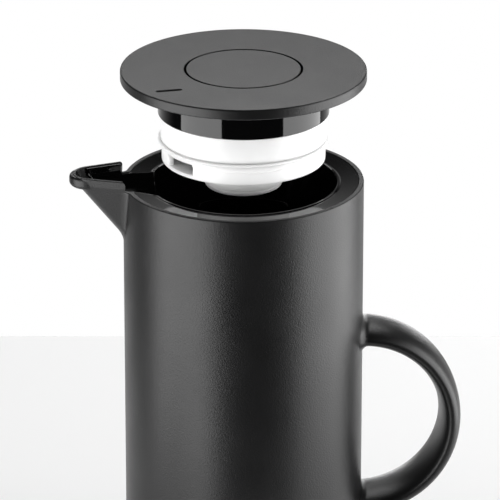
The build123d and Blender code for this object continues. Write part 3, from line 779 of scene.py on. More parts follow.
@dataclass(frozen=True)
class Handle:
    """Half ring of oval section, flared where it meets the barrel."""

    centre_x: float = 58.0
    centre_z: float = 113.0
    mid_radius: float = 45.4
    thickness: float = 10.4
    width: float = 33.0
    fullness: float = 2.2            # of the oval section: 2 is an ellipse
    root_round: float = 4.0
    sink: float = 0.1                # into the barrel
    section_points: int = 96
    rows: int = 161

    def build(self) -> None:
        """Makes the handle.

        With f for the fullness, the section's points are its half sizes times cos a and sin a, each
        with its sign kept and its size to the power 2 / f. Each point is carried along its own circle
        about the ring's axis, between the two turns at which that circle meets the barrel. Within the
        root's round the section grows outward by the quarter circle q - sqrt(q^2 - (q - s)^2), s being
        the way left to the barrel.
        """
        around = np.arange(self.section_points) * 2 * pi / self.section_points
        corner = np.stack([np.cos(around), np.sin(around)], 1)
        section = np.sign(corner) * np.abs(corner) ** (2 / self.fullness)
        section *= [self.thickness / 2, self.width / 2]
        ahead = np.roll(section, -1, 0) - np.roll(section, 1, 0)
        normal = np.stack([ahead[:, 1], -ahead[:, 0]], 1)
        normal /= np.linalg.norm(normal, axis=1, keepdims=True)
        along = np.sin(np.linspace(-pi / 2, pi / 2, self.rows))[:, None]
        radius = self.mid_radius + section[:, 0][None]
        left = radius * (pi / 2) * (1 - np.abs(along))
        grow = quarter_round(left, self.root_round)
        radius = radius + grow * normal[:, 0]
        side = section[:, 1] + grow * normal[:, 1]
        barrel = np.sqrt((SHELL_RADIUS - self.sink) ** 2 - side ** 2)
        swing = along * np.arccos((barrel - self.centre_x) / radius)
        out, up = radius * np.cos(swing), radius * np.sin(swing)
        points = np.stack([self.centre_x + out, side, self.centre_z + up], -1)
        caps = [np.broadcast_to(points[row].mean(0), points[row].shape)[None] for row in (0, -1)]
        points = np.concatenate([caps[0], points, caps[1]])
        handle = make_object("ring_handle", points, weave(len(points), len(section), False))
        dress(handle, MATTE_BLACK, Body.JUG, "handle")


@dataclass(frozen=True)
class PouringCollar:
    """Gloss funnel that lines the mouth, with a trough that climbs into the spout."""

    beak: Beak = field(default_factory=Beak)
    bore: float = 42.2
    mouth: float = 46.0
    wall: float = 1.8
    flange_outer: float = 56.5
    flange_edge: float = 239.6
    flange_low: float = 238.7
    bead: float = 0.5
    neck: float = 214.0
    lining_outer: float = 1.6
    lining_inner: float = 2.8
    trough_end: float = 64.0
    cheek_end: float = 7.1
    flask_mouth: float = 22.0
    mouth_round: float = 0.4
    bead_width: float = 0.9          # flat part, which then falls over 1 mm
    dish_start: float = 2.0          # from the mouth's edge
    bead_end: float = radians(21.0)
    bead_fade: float = radians(2.5)
    spout_turn: float = radians(9.0)     # within it the rows end at the trough's own wall
    fan_turn: float = radians(13.5)      # within it the hidden side follows the trough
    trough_blend: float = 0.5
    lining_low: float = 226.9
    lining_drop: float = 0.45        # from the spout's top edge
    lining_round: float = 0.15
    lining_columns: int = 22
    skirt_drop: float = 2.2          # of the flange's underside at the skirt, from flange_edge
    cone_drop: float = 3.6           # and where the funnel starts
    fine_half: float = radians(25)
    fine_step: float = radians(0.25)

    def flange(self, radius: np.ndarray, turn: np.ndarray) -> np.ndarray:
        """Height of the flange: a shallow dish and a bead round the mouth that dies out at the trough.

        Args:
            radius: Radii.
            turn: Turns from the spout.

        Returns:
            Heights.
        """
        inner = self.mouth + self.dish_start
        share = np.clip((radius - inner) / (self.flange_outer - inner), 0, 1)
        dish = self.flange_low + (self.flange_edge - self.flange_low) * share
        bead = self.bead * (1 - smooth_step(radius - self.mouth - self.bead_width))
        lip = quarter_round(radius - self.mouth, self.mouth_round)
        fade = smooth_step((np.abs(turn) - self.bead_end) / self.bead_fade)
        edge = quarter_round(self.flange_outer - radius, 0.3) * (radius <= self.flange_outer)
        return np.where(radius > self.flange_outer, self.flange_edge, dish + (bead - lip) * fade - edge)

    def funnel(self) -> np.ndarray:
        """Returns the (radius, height) points of the funnel above the trough's foot."""
        return rounded([
            (self.bore, self.beak.foot - 2, 0), (self.bore, self.neck, 3.0),
            (self.mouth - self.mouth_round, self.flange_low - self.wall, 1.0),
            (self.mouth, self.flange_low + self.bead, 0)], closed=False)

    def build(self) -> None:
        """Makes the collar and the two linings of the spout's cheeks."""
        base = finer_turns(0.0, self.fine_half, self.fine_step, 140)
        base = np.sort((base + pi) % (2 * pi) - pi)
        points = np.concatenate([self.floor(base), self.channel(base), self.top(base), self.outside(base)])
        collar = make_object("mouth_funnel", points, weave(len(points), len(base), True))
        dress(collar, GLOSS_BLACK, Body.JUG, "pouring_collar")
        self.linings()

    def floor(self, base: np.ndarray) -> np.ndarray:
        """Rows over the floor and up the bore as far as the trough's foot."""
        path = rounded([
            (self.flask_mouth, FLOOR_UNDER, 0.3), (self.flask_mouth, FLOOR_TOP, 0.5),
            (self.bore, FLOOR_TOP, 1.0), (self.bore, self.beak.foot - HAIR, 0)], closed=False)
        return carried_round(path, base)

    def ends(self, base: np.ndarray, inset: float) -> tuple[np.ndarray, np.ndarray]:
        """Where the trough's wall ends: at the flange, or at the trough's end.

        Args:
            base: Turns of the columns.
            inset: How far the wall stands inside the spout's outer one.

        Returns:
            Radius and height of that end in each column.
        """
        high = np.minimum(self.flange_edge, self.beak.height_at(base, self.trough_end, inset))
        return self.beak.reach(base, high, inset), high

    def channel(self, base: np.ndarray) -> np.ndarray:
        """Rows up the funnel, as the smooth maximum of its radius and the trough's reach.

        Args:
            base: Turns of the columns.

        Returns:
            Array of rows x columns x 3.
        """
        radius, high = self.ends(base, self.lining_inner)
        level = np.maximum(radius, self.mouth)
        plain = np.abs(base) > self.spout_turn
        high = np.where(plain, self.flange(level, base), high)
        share = np.linspace(0, 1, 72)[:, None]
        height = self.beak.foot + share * (high - self.beak.foot)
        funnel = self.funnel()
        wall = np.interp(height, funnel[:, 1], funnel[:, 0])
        trough = self.beak.reach(base, height, self.lining_inner)
        return spun(smooth_max(wall, trough, self.trough_blend), height, base)

    def top(self, base: np.ndarray) -> np.ndarray:
        """Rows over the flange, or over the end of the trough's wall.

        They stand closer together over the bead and over the outer edge.

        Args:
            base: Turns of the columns.

        Returns:
            Array of rows x columns x 3.
        """
        inner, inner_high = self.ends(base, self.lining_inner)
        outer, outer_high = self.ends(base, self.lining_outer)
        start, finish = np.maximum(inner, self.mouth), np.maximum(outer, self.flange_outer)
        bead, dish, edge = np.linspace(0, 0.2, 16), np.linspace(0.22, 0.96, 14), np.linspace(0.97, 1, 5)
        share = np.concatenate([bead, dish, edge])[:, None]
        radius = start + share * (finish - start)
        plain = np.abs(base) > self.spout_turn
        slant = inner_high + share * (outer_high - inner_high)
        return spun(radius, np.where(plain, self.flange(radius, base), slant), base)

    def outside(self, base: np.ndarray) -> np.ndarray:
        """Rows down the hidden outer side: skirt, underside of the flange, funnel and neck.

        Behind the trough six of them come down its own wall instead, at the given shares of the way
        to its foot.

        Args:
            base: Turns of the columns.

        Returns:
            Array of rows x columns x 3.
        """
        outer_high = self.ends(base, self.lining_outer)[1]
        foot, skirt, neck = self.beak.foot, self.flange_outer - self.wall, self.bore + self.wall
        mouth = self.flask_mouth + 0.3
        path = np.array([
            (self.flange_outer, LEDGE), (skirt, LEDGE), (skirt, self.flange_edge - self.skirt_drop),
            (self.mouth + self.wall, self.flange_edge - self.cone_drop), (neck, self.neck - 1),
            (neck, foot + 0.5), (neck, foot - HAIR), (neck, FLOOR_UNDER), (mouth, FLOOR_UNDER)])
        radius, level = path[:, :1], path[:, 1:]
        plain = np.maximum(radius, self.beak.reach(base, level, self.lining_outer) * (level > foot))
        down = np.array([0.15, 0.3, 0.45, 0.6, 0.8, 1.0])[:, None]
        wall = outer_high + down * (foot + 0.2 - outer_high)
        height = np.concatenate([wall, np.broadcast_to(level[6:], (3, len(base)))])
        reach = self.beak.reach(base, height, self.lining_outer) * (height > foot)
        fan = np.where(np.arange(len(path))[:, None] < len(path) - 1, neck, mouth)
        near = (np.abs(base) < self.fan_turn)[None, :, None]
        return np.where(near, spun(np.maximum(fan, reach), height, base), spun(plain, level, base))

    def linings(self) -> None:
        """Makes the thin linings that run on along the cheeks, above and beyond the trough.

        Each is a grid whose rows go up the inner face and down the outer one, and whose columns go
        from the trough's end, or the notch, to the cheek's end.
        """
        crown = RIM + self.beak.rise
        top = crown - self.lining_drop
        edge = self.flange_edge
        below, above = np.linspace(self.lining_low, edge - HAIR, 26), np.linspace(edge, top - 0.2, 12)
        heights = np.concatenate([below, above, [top - 0.06, top]])
        inset = np.zeros_like(heights)
        inset[-2:] = 0.04, self.lining_round
        rows = np.concatenate([heights, heights[::-1]])[:, None]
        depth = np.concatenate([self.lining_inner - inset, (self.lining_outer + inset)[::-1]])[:, None]
        notch = NOTCH_RADIUS + quarter_round(crown - rows, NOTCH_ROUND)
        circle = np.where(rows < edge, self.trough_end, notch)
        start = self.beak.turn_at(circle, rows, depth)
        radius = self.beak.nose - depth
        middle = self.beak.tip(rows, depth) - radius
        stop_x = self.beak.tip(rows, 0.0) - self.cheek_end
        along = np.maximum(stop_x - middle, radius * sin(self.beak.cheek))
        stop_y = np.sqrt(np.maximum(radius ** 2 - np.minimum(along, radius) ** 2, HAIR))
        stop = np.minimum(np.arctan2(stop_y, stop_x), start - SAME_POINT)
        share = np.linspace(0, 1, self.lining_columns)[None]
        turn = start + share * (stop - start)
        reach = self.beak.reach(turn, rows, depth)
        for side, word in ((1, "left"), (-1, "right")):
            points = spun(reach, rows, turn * side)
            lining = make_object(f"cheek_lining_{word}", *capped(points))
            dress(lining, GLOSS_BLACK, Body.JUG)


def capped(points: np.ndarray) -> tuple[np.ndarray, np.ndarray]:
    """Closes a tube of looped rows at its first and last column.

    The rows are a loop of an even number; the face across an end joins row k to its opposite.

    Args:
        points: Array of rows x columns x 3.

    Returns:
        The points and all faces.
    """
    rows, columns = points.shape[:2]
    faces = [weave(rows, columns, True, False)]
    low = np.arange(rows // 2 - 1)
    for column in (0, columns - 1):
        strip = [low * columns, (low + 1) * columns, (rows - 2 - low) * columns, (rows - 1 - low) * columns]
        faces.append(np.stack(strip, -1) + column)
    return points, np.concatenate(faces)


@dataclass(frozen=True)
class Flask:
    """Silvered glass flask behind the collar."""

    radius: float = 51.5
    wall: float = 1.3
    gap: float = 4.2
    bottom: float = 17.0
    mouth: float = 22.0
    neck_gap: float = 1.8
    lip: float = 2.0
    neck_length: float = 22.0
    dome_height: float = 34.0
    bottom_round: float = 14.0
    dome_round: float = 30.0
    neck_round: float = 6.0

    def build(self) -> None:
        """Makes the inner bottle with its turned-over mouth."""
        inset = self.wall + self.gap
        outer, low = self.radius - inset, self.bottom + inset
        inner, floor = outer - self.wall, low + self.wall
        shoulder = FLASK_TOP - self.neck_length
        spring = shoulder - self.dome_height + inset
        neck, lip_under = self.mouth + self.wall, FLASK_TOP - self.lip
        rim = neck + self.wall + self.neck_gap
        glass = turned("inner_bottle", [
            (0, low, 0), (outer, low, self.bottom_round), (outer, spring, self.dome_round),
            (neck, shoulder, self.neck_round), (neck, lip_under, 0), (rim, lip_under, 0),
            (rim, FLASK_TOP, 0.8), (self.mouth, FLASK_TOP, 0.6), (self.mouth, shoulder, self.neck_round),
            (inner, spring, self.dome_round), (inner, floor, self.bottom_round - 1), (0, floor, 0)],
            closed=False)
        dress(glass, SILVERED, Body.JUG, "liner_inner_glass")


@dataclass(frozen=True)
class Foot:
    """Base cover and grip pad."""

    cover: float = 56.5
    recess: float = 54.8
    pad: float = 54.7
    cover_low: float = 0.8
    pad_high: float = 2.0
    cover_high: float = 5.0

    def build(self) -> None:
        """Makes the cover and the pad."""
        low, middle, high = self.cover_low, self.pad_high, self.cover_high
        cover = turned("base_plate", [
            (0, middle, 0), (self.recess, middle, 0), (self.recess, low, 0.3), (self.cover, low, 0.4),
            (self.cover, high, 0.4), (0, high, 0)], closed=False)
        dress(cover, BASE_PLASTIC, Body.JUG, "base_cover")
        pad = turned("grip_pad", [
            (0, 0, 0), (self.pad, 0, 0.5), (self.pad, middle, 0), (0, middle, 0)], closed=False)
        dress(pad, BLACK_SILICONE, Body.JUG, "base_pad")


# ---------------------------------------------------------------------------- lid
@dataclass(frozen=True)
class LidDisc:
    """Flat top of the lid with the button's well and the sunk pouring mark."""

    radius: float = 60.0
    edge_round: float = 0.8
    well: float = 28.9
    well_wall: float = 1.5
    well_hole: float = 21.4
    mark_length: float = 13.0
    mark_width: float = 2.4
    mark_depth: float = 1.1
    mark_outer: float = 52.6
    mark_slant: float = radians(-26.0)
    mark_edge: float = 0.16          # width of its sloping side
    fine_span: tuple[float, float] = (54.4, 40.4)    # radii with rows close together
    fine_rows: int = 110
    fine_middle: float = radians(4.0)                # turn from the window
    fine_half: float = radians(8.5)
    fine_step: float = radians(0.13)

    def mark(self, points: np.ndarray) -> np.ndarray:
        """Sinks the mark: the depth times a smooth step of the distance inside a round-ended line.

        The distance is measured to the line's middle run, on which a point's share is its position
        along the run, kept between the two ends.

        Args:
            points: The disc's grid, changed in place.

        Returns:
            The same grid.
        """
        out = np.array([-cos(WINDOW_TURN), -sin(WINDOW_TURN)])
        slant = pi + WINDOW_TURN + self.mark_slant
        run = np.array([cos(slant), sin(slant)])
        outer = out * self.mark_outer
        length = self.mark_length - self.mark_width
        away = points[..., :2] - outer
        share = np.clip(-(away @ run), 0, length)
        distance = np.linalg.norm(away + share[..., None] * run, axis=-1)
        sunk = smooth_step((self.mark_width / 2 + 0.06 - distance) / self.mark_edge)
        top = points[..., 2] > DISC_TOP - SAME_POINT
        points[..., 2] -= self.mark_depth * sunk * top
        return points

    def build(self) -> None:
        """Makes the disc, with rows and columns close together where the mark is."""
        outer, bottom = self.well + self.well_wall, LID - LID_DROP
        floor = bottom + self.well_wall
        profile = rounded([
            (self.radius, LID, self.edge_round), (self.radius, DISC_TOP, self.edge_round),
            (self.well, DISC_TOP, 0.3), (self.well, floor, 0), (self.well_hole, floor, 0),
            (self.well_hole, bottom, 0), (outer, bottom, 0.4), (outer, LID, 0.5)])
        on_top = (profile[:, 1] > DISC_TOP - SAME_POINT) & (profile[:, 0] < self.radius - 1)
        first = int(np.argmax(on_top)) + 1
        fine = np.linspace(*self.fine_span, self.fine_rows)
        rows = np.stack([fine, np.full_like(fine, DISC_TOP)], 1)
        profile = np.concatenate([profile[:first], rows, profile[first:]])
        turns = finer_turns(WINDOW_TURN + self.fine_middle, self.fine_half, self.fine_step)
        points = self.mark(carried_round(profile, turns))
        disc = make_object("lid_top", points, weave(len(profile), len(turns), True))
        dress(disc, MATTE_BLACK, Body.LID, "lid_disc")


@dataclass(frozen=True)
class Skirt:
    """Gloss cup under the disc."""

    radius: float = 41.8
    wall: float = 1.8
    plug: float = 38.6
    plug_wall: float = 1.6
    plug_length: float = 6.0
    bush: float = 5.3
    ring_drop: float = 3.0           # of the sealing ring's groove under the plug's top
    ring_half: float = 0.8
    ring_depth: float = 0.9
    post_circle: float = 25.4
    post: float = 3.2
    post_bore: float = 1.1
    sink: float = 0.2                # of the posts into the floor

    def build(self) -> None:
        """Makes the cup and the posts for its screws."""
        top, floor, inner = STOPPER_TOP, STOPPER_TOP + self.wall, self.plug - self.plug_wall
        ring, end, wall = self.plug - self.ring_depth, top - self.plug_length, self.radius - self.wall
        ring_low, ring_high = top - self.ring_drop - self.ring_half, top - self.ring_drop + self.ring_half
        cup = turned("gloss_skirt", [
            (self.bush, top, 0.3), (inner, top, 0), (inner, end, 0.4), (self.plug, end, 0.4),
            (self.plug, ring_low, 0), (ring, ring_low, 0), (ring, ring_high, 0), (self.plug, ring_high, 0),
            (self.plug, top, 0), (self.radius, top, 0.4), (self.radius, LID, 0), (wall, LID, 0),
            (wall, floor, 1.0), (self.bush, floor, 0.3)])
        dress(cup, GLOSS_BLACK, Body.LID, "lid_skirt")
        bottom, foot, high = floor + 0.8, floor - self.sink, LID - LID_DROP
        bosses = posts("skirt_posts", on_circle(3, self.post_circle, 30), [
            (0, bottom, 0), (self.post_bore, bottom, 0), (self.post_bore, high, 0), (self.post, high, 0.2),
            (self.post, foot, 0), (0, foot, 0)])
        dress(bosses, GLOSS_BLACK, Body.LID)


@dataclass(frozen=True)
class Stopper:
    """White stopper with its pouring window, and the seals it carries."""

    radius: float = 40.5
    low_radius: float = 40.0
    flare: float = 41.0
    bore: float = 38.7
    chamber: float = 37.3
    groove: float = 39.1
    groove_half: float = 0.85
    seal_height: float = 261.7
    seal_radius: float = 41.9
    seal_half: float = 0.8
    seat_depth: float = 7.0          # of the bore that holds the skirt's plug
    seat_above: float = 3.0          # start of its cone over the seal
    flare_span: tuple[float, float] = (2.4, 0.8)     # of the flared edge's cone, under the top
    floor: float = 253.4
    step: float = 257.9
    window_top: float = 259.2
    window_width: float = 18.5
    window_step: float = radians(1.0)
    tube: float = 19.2
    nose_bore: float = 17.2
    nose: float = 21.4

    def body(self) -> None:
        """Makes the stopper: a turned cup whose outer and inner walls are joined round the window."""
        low, high = self.seal_height - self.groove_half, self.seal_height + self.groove_half
        window = [self.floor, self.step, self.step + 0.4, self.window_top]
        outer = [self.low_radius, self.low_radius, self.radius, self.radius]
        flare_low, flare_high = (STOPPER_TOP - drop for drop in self.flare_span)
        outline = [
            (self.nose_bore, NOSE_END, 0.4), (self.tube, NOSE_END, 0), (self.tube, STOPPER_FOOT, 0),
            (self.low_radius, STOPPER_FOOT, 0.6)]
        outline += [(radius, height, 0) for radius, height in zip(outer, window)]
        outline += [
            (self.radius, low, 0), (self.groove, low, 0), (self.groove, high, 0), (self.radius, high, 0),
            (self.radius, flare_low, 0), (self.flare, flare_high, 0), (self.flare, STOPPER_TOP, 0.2),
            (self.bore, STOPPER_TOP, 0.3), (self.bore, STOPPER_TOP - self.seat_depth, 0),
            (self.chamber, self.seal_height + self.seat_above, 0.5)]
        outline += [(self.chamber, height, 0) for height in window[::-1]]
        outline += [(self.nose_bore, self.floor, 0.8)]
        profile = rounded(outline)
        half = asin(self.window_width / 2 / self.low_radius)
        turns = finer_turns(WINDOW_TURN, half, self.window_step)
        rows, columns = len(profile), len(turns)
        faces = weave(rows, columns, True).reshape(rows, columns, 4)
        outside = [self.row_at(profile, radius, height) for radius, height in zip(outer, window)]
        inside = [self.row_at(profile, self.chamber, height) for height in window]
        span = int(np.ceil(2 * half / self.window_step))
        keep = np.ones((rows, columns), bool)
        keep[outside[0]:outside[-1], :span] = False
        keep[inside[-1]:inside[0], :span] = False
        parts = [faces[keep]]
        across = np.arange(span)
        for far, near in ((outside[0], inside[0]), (outside[-1], inside[-1])):
            parts.append(np.stack([far * columns + across, far * columns + across + 1,
                                   near * columns + across + 1, near * columns + across], -1))
        far, near = np.array(outside), np.array(inside)
        for column in (0, span):
            parts.append(np.stack([far[:-1], far[1:], near[1:], near[:-1]], -1) * columns + column)
        cup = make_object("white_stopper", carried_round(profile, turns), np.concatenate(parts))
        dress(cup, WHITE, Body.LID, "stopper_body")

    def row_at(self, profile: np.ndarray, radius: float, height: float) -> int:
        """Returns the number of the profile point nearest to a radius and height."""
        return int(np.argmin(np.linalg.norm(profile - np.array([radius, height]), axis=1)))

    def seals(self) -> None:
        """Makes the lip seal and the sleeve on the nose."""
        middle, foot, root = self.seal_height, self.groove + PLAY, self.radius + 0.3
        low, high = middle - self.seal_half, middle + self.seal_half
        seal = turned("stopper_lip", [
            (foot, low, 0.2), (root, low, 0.3), (self.seal_radius, middle - 0.2, 0.3),
            (self.seal_radius, middle + 0.4, 0.3), (root, high, 0.3), (foot, high, 0.2)])
        dress(seal, WHITE_SILICONE, Body.LIP_SEAL, "lip_seal")
        sleeve = turned("nose_sleeve", [
            (self.tube, NOSE_END, 0), (self.nose - 0.8, NOSE_END, 1.2), (self.nose, NOSE_END + 2.4, 2.0),
            (self.nose, STOPPER_FOOT, 0.3), (self.tube, STOPPER_FOOT, 0)])
        dress(sleeve, GREY_SILICONE, Body.LID, "nose_seal")

    def build(self) -> None:
        """Makes the stopper and its seals."""
        self.body()
        self.seals()


@dataclass(frozen=True)
class Button:
    """Push button and the valve that it opens through its stem."""

    radius: float = 27.9
    plate: float = 1.8
    skirt: float = 5.6
    wall: float = 1.6
    stem: float = 3.0
    stem_neck: float = 2.2
    clip_groove: float = 1.6
    clip: float = 0.8                # thickness
    collar: float = 5.0
    valve: float = 18.8
    valve_plate: float = 1.8
    washer: float = 1.4
    travel: float = 4.0
    coil: float = 8.6
    wire: float = 0.45               # radius
    coils: int = 4
    spring_seat: float = 1.8         # floor of the gloss cup
    spring_slack: float = 0.15
    coil_points: int = 56
    wire_points: int = 12

    def build(self) -> None:
        """Makes the cap, the stem, the valve plate with its washer, and the spring."""
        under, inner, skirt = DISC_TOP - self.plate, self.radius - self.wall, DISC_TOP - self.skirt
        collar_end = DISC_TOP - LID_DROP
        cap = turned("push_button", [
            (0, under, 0), (self.stem, under, 0), (self.stem, collar_end, 0), (self.collar, collar_end, 0),
            (self.collar, under, 0), (inner, under, 1.0), (inner, skirt, 0.3), (self.radius, skirt, 0.3),
            (self.radius, DISC_TOP, 0.4), (0, DISC_TOP, 0)], closed=False)
        dress(cap, MATTE_BLACK, Body.BUTTON, "button_cap")
        washer_top, neck, groove = NOSE_END - 0.3, self.stem_neck, self.clip_groove
        plate_top = washer_top - self.washer
        plate_low = plate_top - self.valve_plate
        groove_low = plate_low - self.clip
        end = groove_low - self.clip_groove
        stem = turned("push_stem", [
            (0, end, 0), (neck, end, 0.5), (neck, groove_low, 0), (groove, groove_low, 0),
            (groove, plate_low, 0), (neck, plate_low, 0), (neck, washer_top, 0),
            (self.stem, washer_top, 0.3), (self.stem, under, 0.3), (0, under, 0)],
            closed=False, turns=even_turns(48))
        dress(stem, GUIDE_WHITE, Body.BUTTON, "valve_stem")
        hole = neck + PLAY
        plate = turned("valve_plate", [
            (hole, plate_low, 0), (self.valve - 1.6, plate_low, 1.0), (self.valve, plate_low + 1.0, 0.6),
            (self.valve, plate_top, 0), (hole, plate_top, 0)])
        dress(plate, WHITE, Body.BUTTON, "valve_disc")
        washer = turned("valve_ring", [
            (hole, plate_top, 0), (self.valve, plate_top, 0), (self.valve, washer_top, 0.4),
            (hole, washer_top, 0)])
        dress(washer, GREY_SILICONE, Body.BUTTON, "valve_washer")
        self.spring(under)

    def spring(self, under: float) -> None:
        """Makes the return spring.

        A point of the wire is the helix's own point plus the wire's radius times
        cos a * outward + sin a * sideways, sideways being at right angles to outward and to the
        helix's run.

        Args:
            under: Height of the underside of the button's plate.
        """
        foot, slack = STOPPER_TOP + self.spring_seat, self.wire + self.spring_slack
        low, high = foot + slack, under - slack
        turn = np.linspace(0, 2 * pi * self.coils, self.coil_points * self.coils + 1)[:, None]
        outward = np.concatenate([np.cos(turn), np.sin(turn), 0 * turn], 1)
        middle = self.coil * outward
        middle[:, 2:] = low + (high - low) * turn / turn[-1]
        run = np.gradient(middle, axis=0)
        sideways = np.cross(run, outward)
        sideways /= np.linalg.norm(sideways, axis=1, keepdims=True)
        around = (np.arange(self.wire_points) * 2 * pi / self.wire_points)[None, :, None]
        across = np.cos(around) * outward[:, None] + np.sin(around) * sideways[:, None]
        tube = middle[:, None] + self.wire * across
        ends = [np.broadcast_to(middle[row], tube[row].shape)[None] for row in (0, -1)]
        points = np.concatenate([ends[0], tube, ends[1]])
        spring = make_object("coil_spring", points, weave(len(points), self.wire_points, False))
        dress(spring, STEEL, Body.LID, "return_spring")
        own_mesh(spring)


# ---------------------------------------------------------------------------- studio
@dataclass(frozen=True)
class Softbox:
    """Square lamp that looks at a point on the jug's axis.

    The azimuth, in degrees, counts from the camera's side, positive to the right; the elevation is
    in degrees too, and all lengths are metres.
    """

    name: str
    azimuth: float
    elevation: float
    distance: float
    width: float
    height: float
    power: float
    aim: float = 0.2

    def build(self) -> None:
        """Hangs the lamp."""
        data = bpy.data.lights.new(self.name, "AREA")
        data.shape = "RECTANGLE"
        data.size, data.size_y, data.energy = self.width, self.height, self.power
        lamp = bpy.data.objects.new(self.name, data)
        turn, rise = radians(self.azimuth), radians(self.elevation)
        back = np.array([sin(turn) * cos(rise), -cos(turn) * cos(rise), sin(rise)])
        right = np.array([cos(turn), sin(turn), 0.0])
        lamp.matrix_world = facing(back * self.distance + np.array([0, 0, self.aim]), back, right)
        bpy.context.scene.collection.objects.link(lamp)


def facing(spot: np.ndarray, back: np.ndarray, right: np.ndarray) -> Matrix:
    """Places a camera or a lamp, upright.

    Args:
        spot: Its place, in metres.
        back: Direction behind it.
        right: Direction to its right.

    Returns:
        Its matrix.
    """
    up = np.cross(back, right)
    grid = np.eye(4)
    grid[:3, 0], grid[:3, 1], grid[:3, 2], grid[:3, 3] = right, up, back, spot
    return Matrix(grid.tolist())


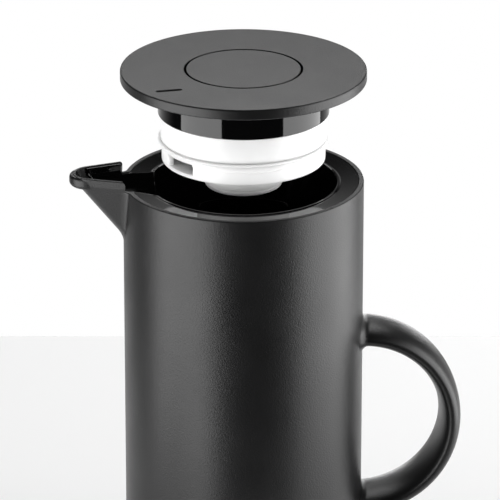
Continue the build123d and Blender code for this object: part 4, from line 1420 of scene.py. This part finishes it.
@dataclass(frozen=True)
class Studio:
    """Pale table, white surround, soft lamps and the camera. Lengths are metres."""

    distance: float = 2.2
    elevation: float = radians(20.7)
    yaw: float = radians(4.0)
    lens: float = 323.5              # and the sensor, in millimetres
    sensor: float = 36.0
    clip_end: float = 50.0
    shift: tuple[float, float] = (0.013, -0.1424)
    aim: float = 0.24
    table_back: float = 0.374
    table_front: float = -0.20
    table_side: float = 0.34
    table_thick: float = 0.03
    table_grey: float = 0.89
    table_roughness: float = 0.6
    room_light: float = 0.5
    room_tilt: float = radians(-35.0)
    cove_span: tuple[float, float] = (0.37, 1.269)   # cosines between which the cove brightens
    cove_least: float = 0.01
    lamps: tuple[Softbox, ...] = (
        Softbox("left_box", -64, -12, 1.2, 1.38, 1.4, 23),
        Softbox("right_box", 85, 0, 1.2, 1.68, 1.86, 37),
        Softbox("back_box", 180, 38, 1.2, 0.9, 0.3, 3.4),
        Softbox("rim_box", 172, -7, 1.4, 0.8, 0.3, 3.4),
    )

    def camera(self) -> None:
        """Places the camera: it looks down at the rim from the front, a little from the left."""
        data = bpy.data.cameras.new("camera")
        data.lens, data.sensor_width = self.lens, self.sensor
        data.shift_x, data.shift_y = self.shift
        data.clip_end = self.clip_end
        level = cos(self.elevation)
        back = np.array([-sin(self.yaw) * level, -cos(self.yaw) * level, sin(self.elevation)])
        right = np.array([cos(self.yaw), -sin(self.yaw), 0.0])
        camera = bpy.data.objects.new("camera", data)
        camera.matrix_world = facing(back * self.distance + np.array([0, 0, self.aim]), back, right)
        bpy.context.scene.collection.objects.link(camera)
        bpy.context.scene.camera = camera

    def table(self) -> None:
        """Makes the table top, its back edge square to the camera's line of sight."""
        along = np.array([sin(self.yaw), cos(self.yaw), 0.0])
        across = np.array([cos(self.yaw), -sin(self.yaw), 0.0])
        ends = np.array([self.table_front, self.table_back])
        sides = np.array([-self.table_side, self.table_side])
        points = ends[:, None, None] * along + sides[None, :, None] * across
        points = np.concatenate([points, points - [0, 0, self.table_thick]]) / MM
        faces = [[0, 1, 3, 2], [4, 6, 7, 5], [0, 4, 5, 1], [2, 3, 7, 6], [0, 2, 6, 4], [1, 5, 7, 3]]
        table = make_object("table_top", points, np.array(faces))
        material = bpy.data.materials.new("table_white")
        material.use_nodes = True
        shader = material.node_tree.nodes["Principled BSDF"]
        shader.inputs["Base Color"].default_value = (self.table_grey, self.table_grey, self.table_grey, 1)
        shader.inputs["Roughness"].default_value = self.table_roughness
        table.data.materials.append(material)

    def surround(self) -> None:
        """Makes the world: a white cove behind the jug, a dark room before it and a plain light.

        The camera and clear pieces see white all round. Polished pieces see the cove: its strength
        follows the smoothed cosine of the angle from a line that runs back and down.
        """
        world = bpy.data.worlds.new("surround")
        bpy.context.scene.world = world
        world.use_nodes = True
        nodes, links = world.node_tree.nodes, world.node_tree.links
        path = nodes.new("ShaderNodeLightPath")
        seen = nodes.new("ShaderNodeMath")
        seen.operation = "MAXIMUM"
        links.new(path.outputs["Is Camera Ray"], seen.inputs[0])
        links.new(path.outputs["Is Transmission Ray"], seen.inputs[1])
        cosine = nodes.new("ShaderNodeVectorMath")
        cosine.operation = "DOT_PRODUCT"
        level = cos(self.room_tilt)
        cosine.inputs[1].default_value = (sin(self.yaw) * level, cos(self.yaw) * level, sin(self.room_tilt))
        links.new(nodes.new("ShaderNodeTexCoord").outputs["Generated"], cosine.inputs[0])
        cove = nodes.new("ShaderNodeMapRange")
        cove.interpolation_type = "SMOOTHSTEP"
        cove.inputs["From Min"].default_value, cove.inputs["From Max"].default_value = self.cove_span
        cove.inputs["To Min"].default_value = self.cove_least
        links.new(cosine.outputs["Value"], cove.inputs["Value"])
        mirrored = self.either(world, path.outputs["Is Glossy Ray"])
        mirrored.inputs["A"].default_value = self.room_light
        links.new(cove.outputs["Result"], mirrored.inputs["B"])
        whole = self.either(world, seen.outputs["Value"])
        links.new(mirrored.outputs["Result"], whole.inputs["A"])
        whole.inputs["B"].default_value = 1.0
        background = nodes["Background"]
        background.inputs["Color"].default_value = (1, 1, 1, 1)
        links.new(whole.outputs["Result"], background.inputs["Strength"])

    def either(self, world: bpy.types.World, switch: Socket) -> bpy.types.Node:
        """Adds a choice of two numbers.

        Args:
            world: The world.
            switch: Value at which 1 takes the second number, B, and 0 the first, A.

        Returns:
            The node.
        """
        mix = world.node_tree.nodes.new("ShaderNodeMix")
        world.node_tree.links.new(switch, mix.inputs["Factor"])
        return mix

    def build(self) -> None:
        """Sets up the whole studio."""
        bpy.context.scene.view_settings.view_transform = "Standard"
        self.camera()
        self.table()
        self.surround()
        for lamp in self.lamps:
            lamp.build()


def main() -> None:
    """Loads the frame, builds the pieces, dresses the nodes that stay and sets up the studio."""
    logging.basicConfig(level=logging.INFO, format="%(message)s")
    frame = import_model()
    jug = (OuterShell(), Handle(), PouringCollar(), Flask(), Foot())
    lid = (LidDisc(), Skirt(), Stopper(), Button())
    for part in jug + lid:
        part.build()
    for name, finish in KEPT_NODES.items():
        materials = frame["nodes"][name].data.materials
        materials.clear()
        materials.append(finish.build())
    Studio().build()


if __name__ == "__main__":
    main()
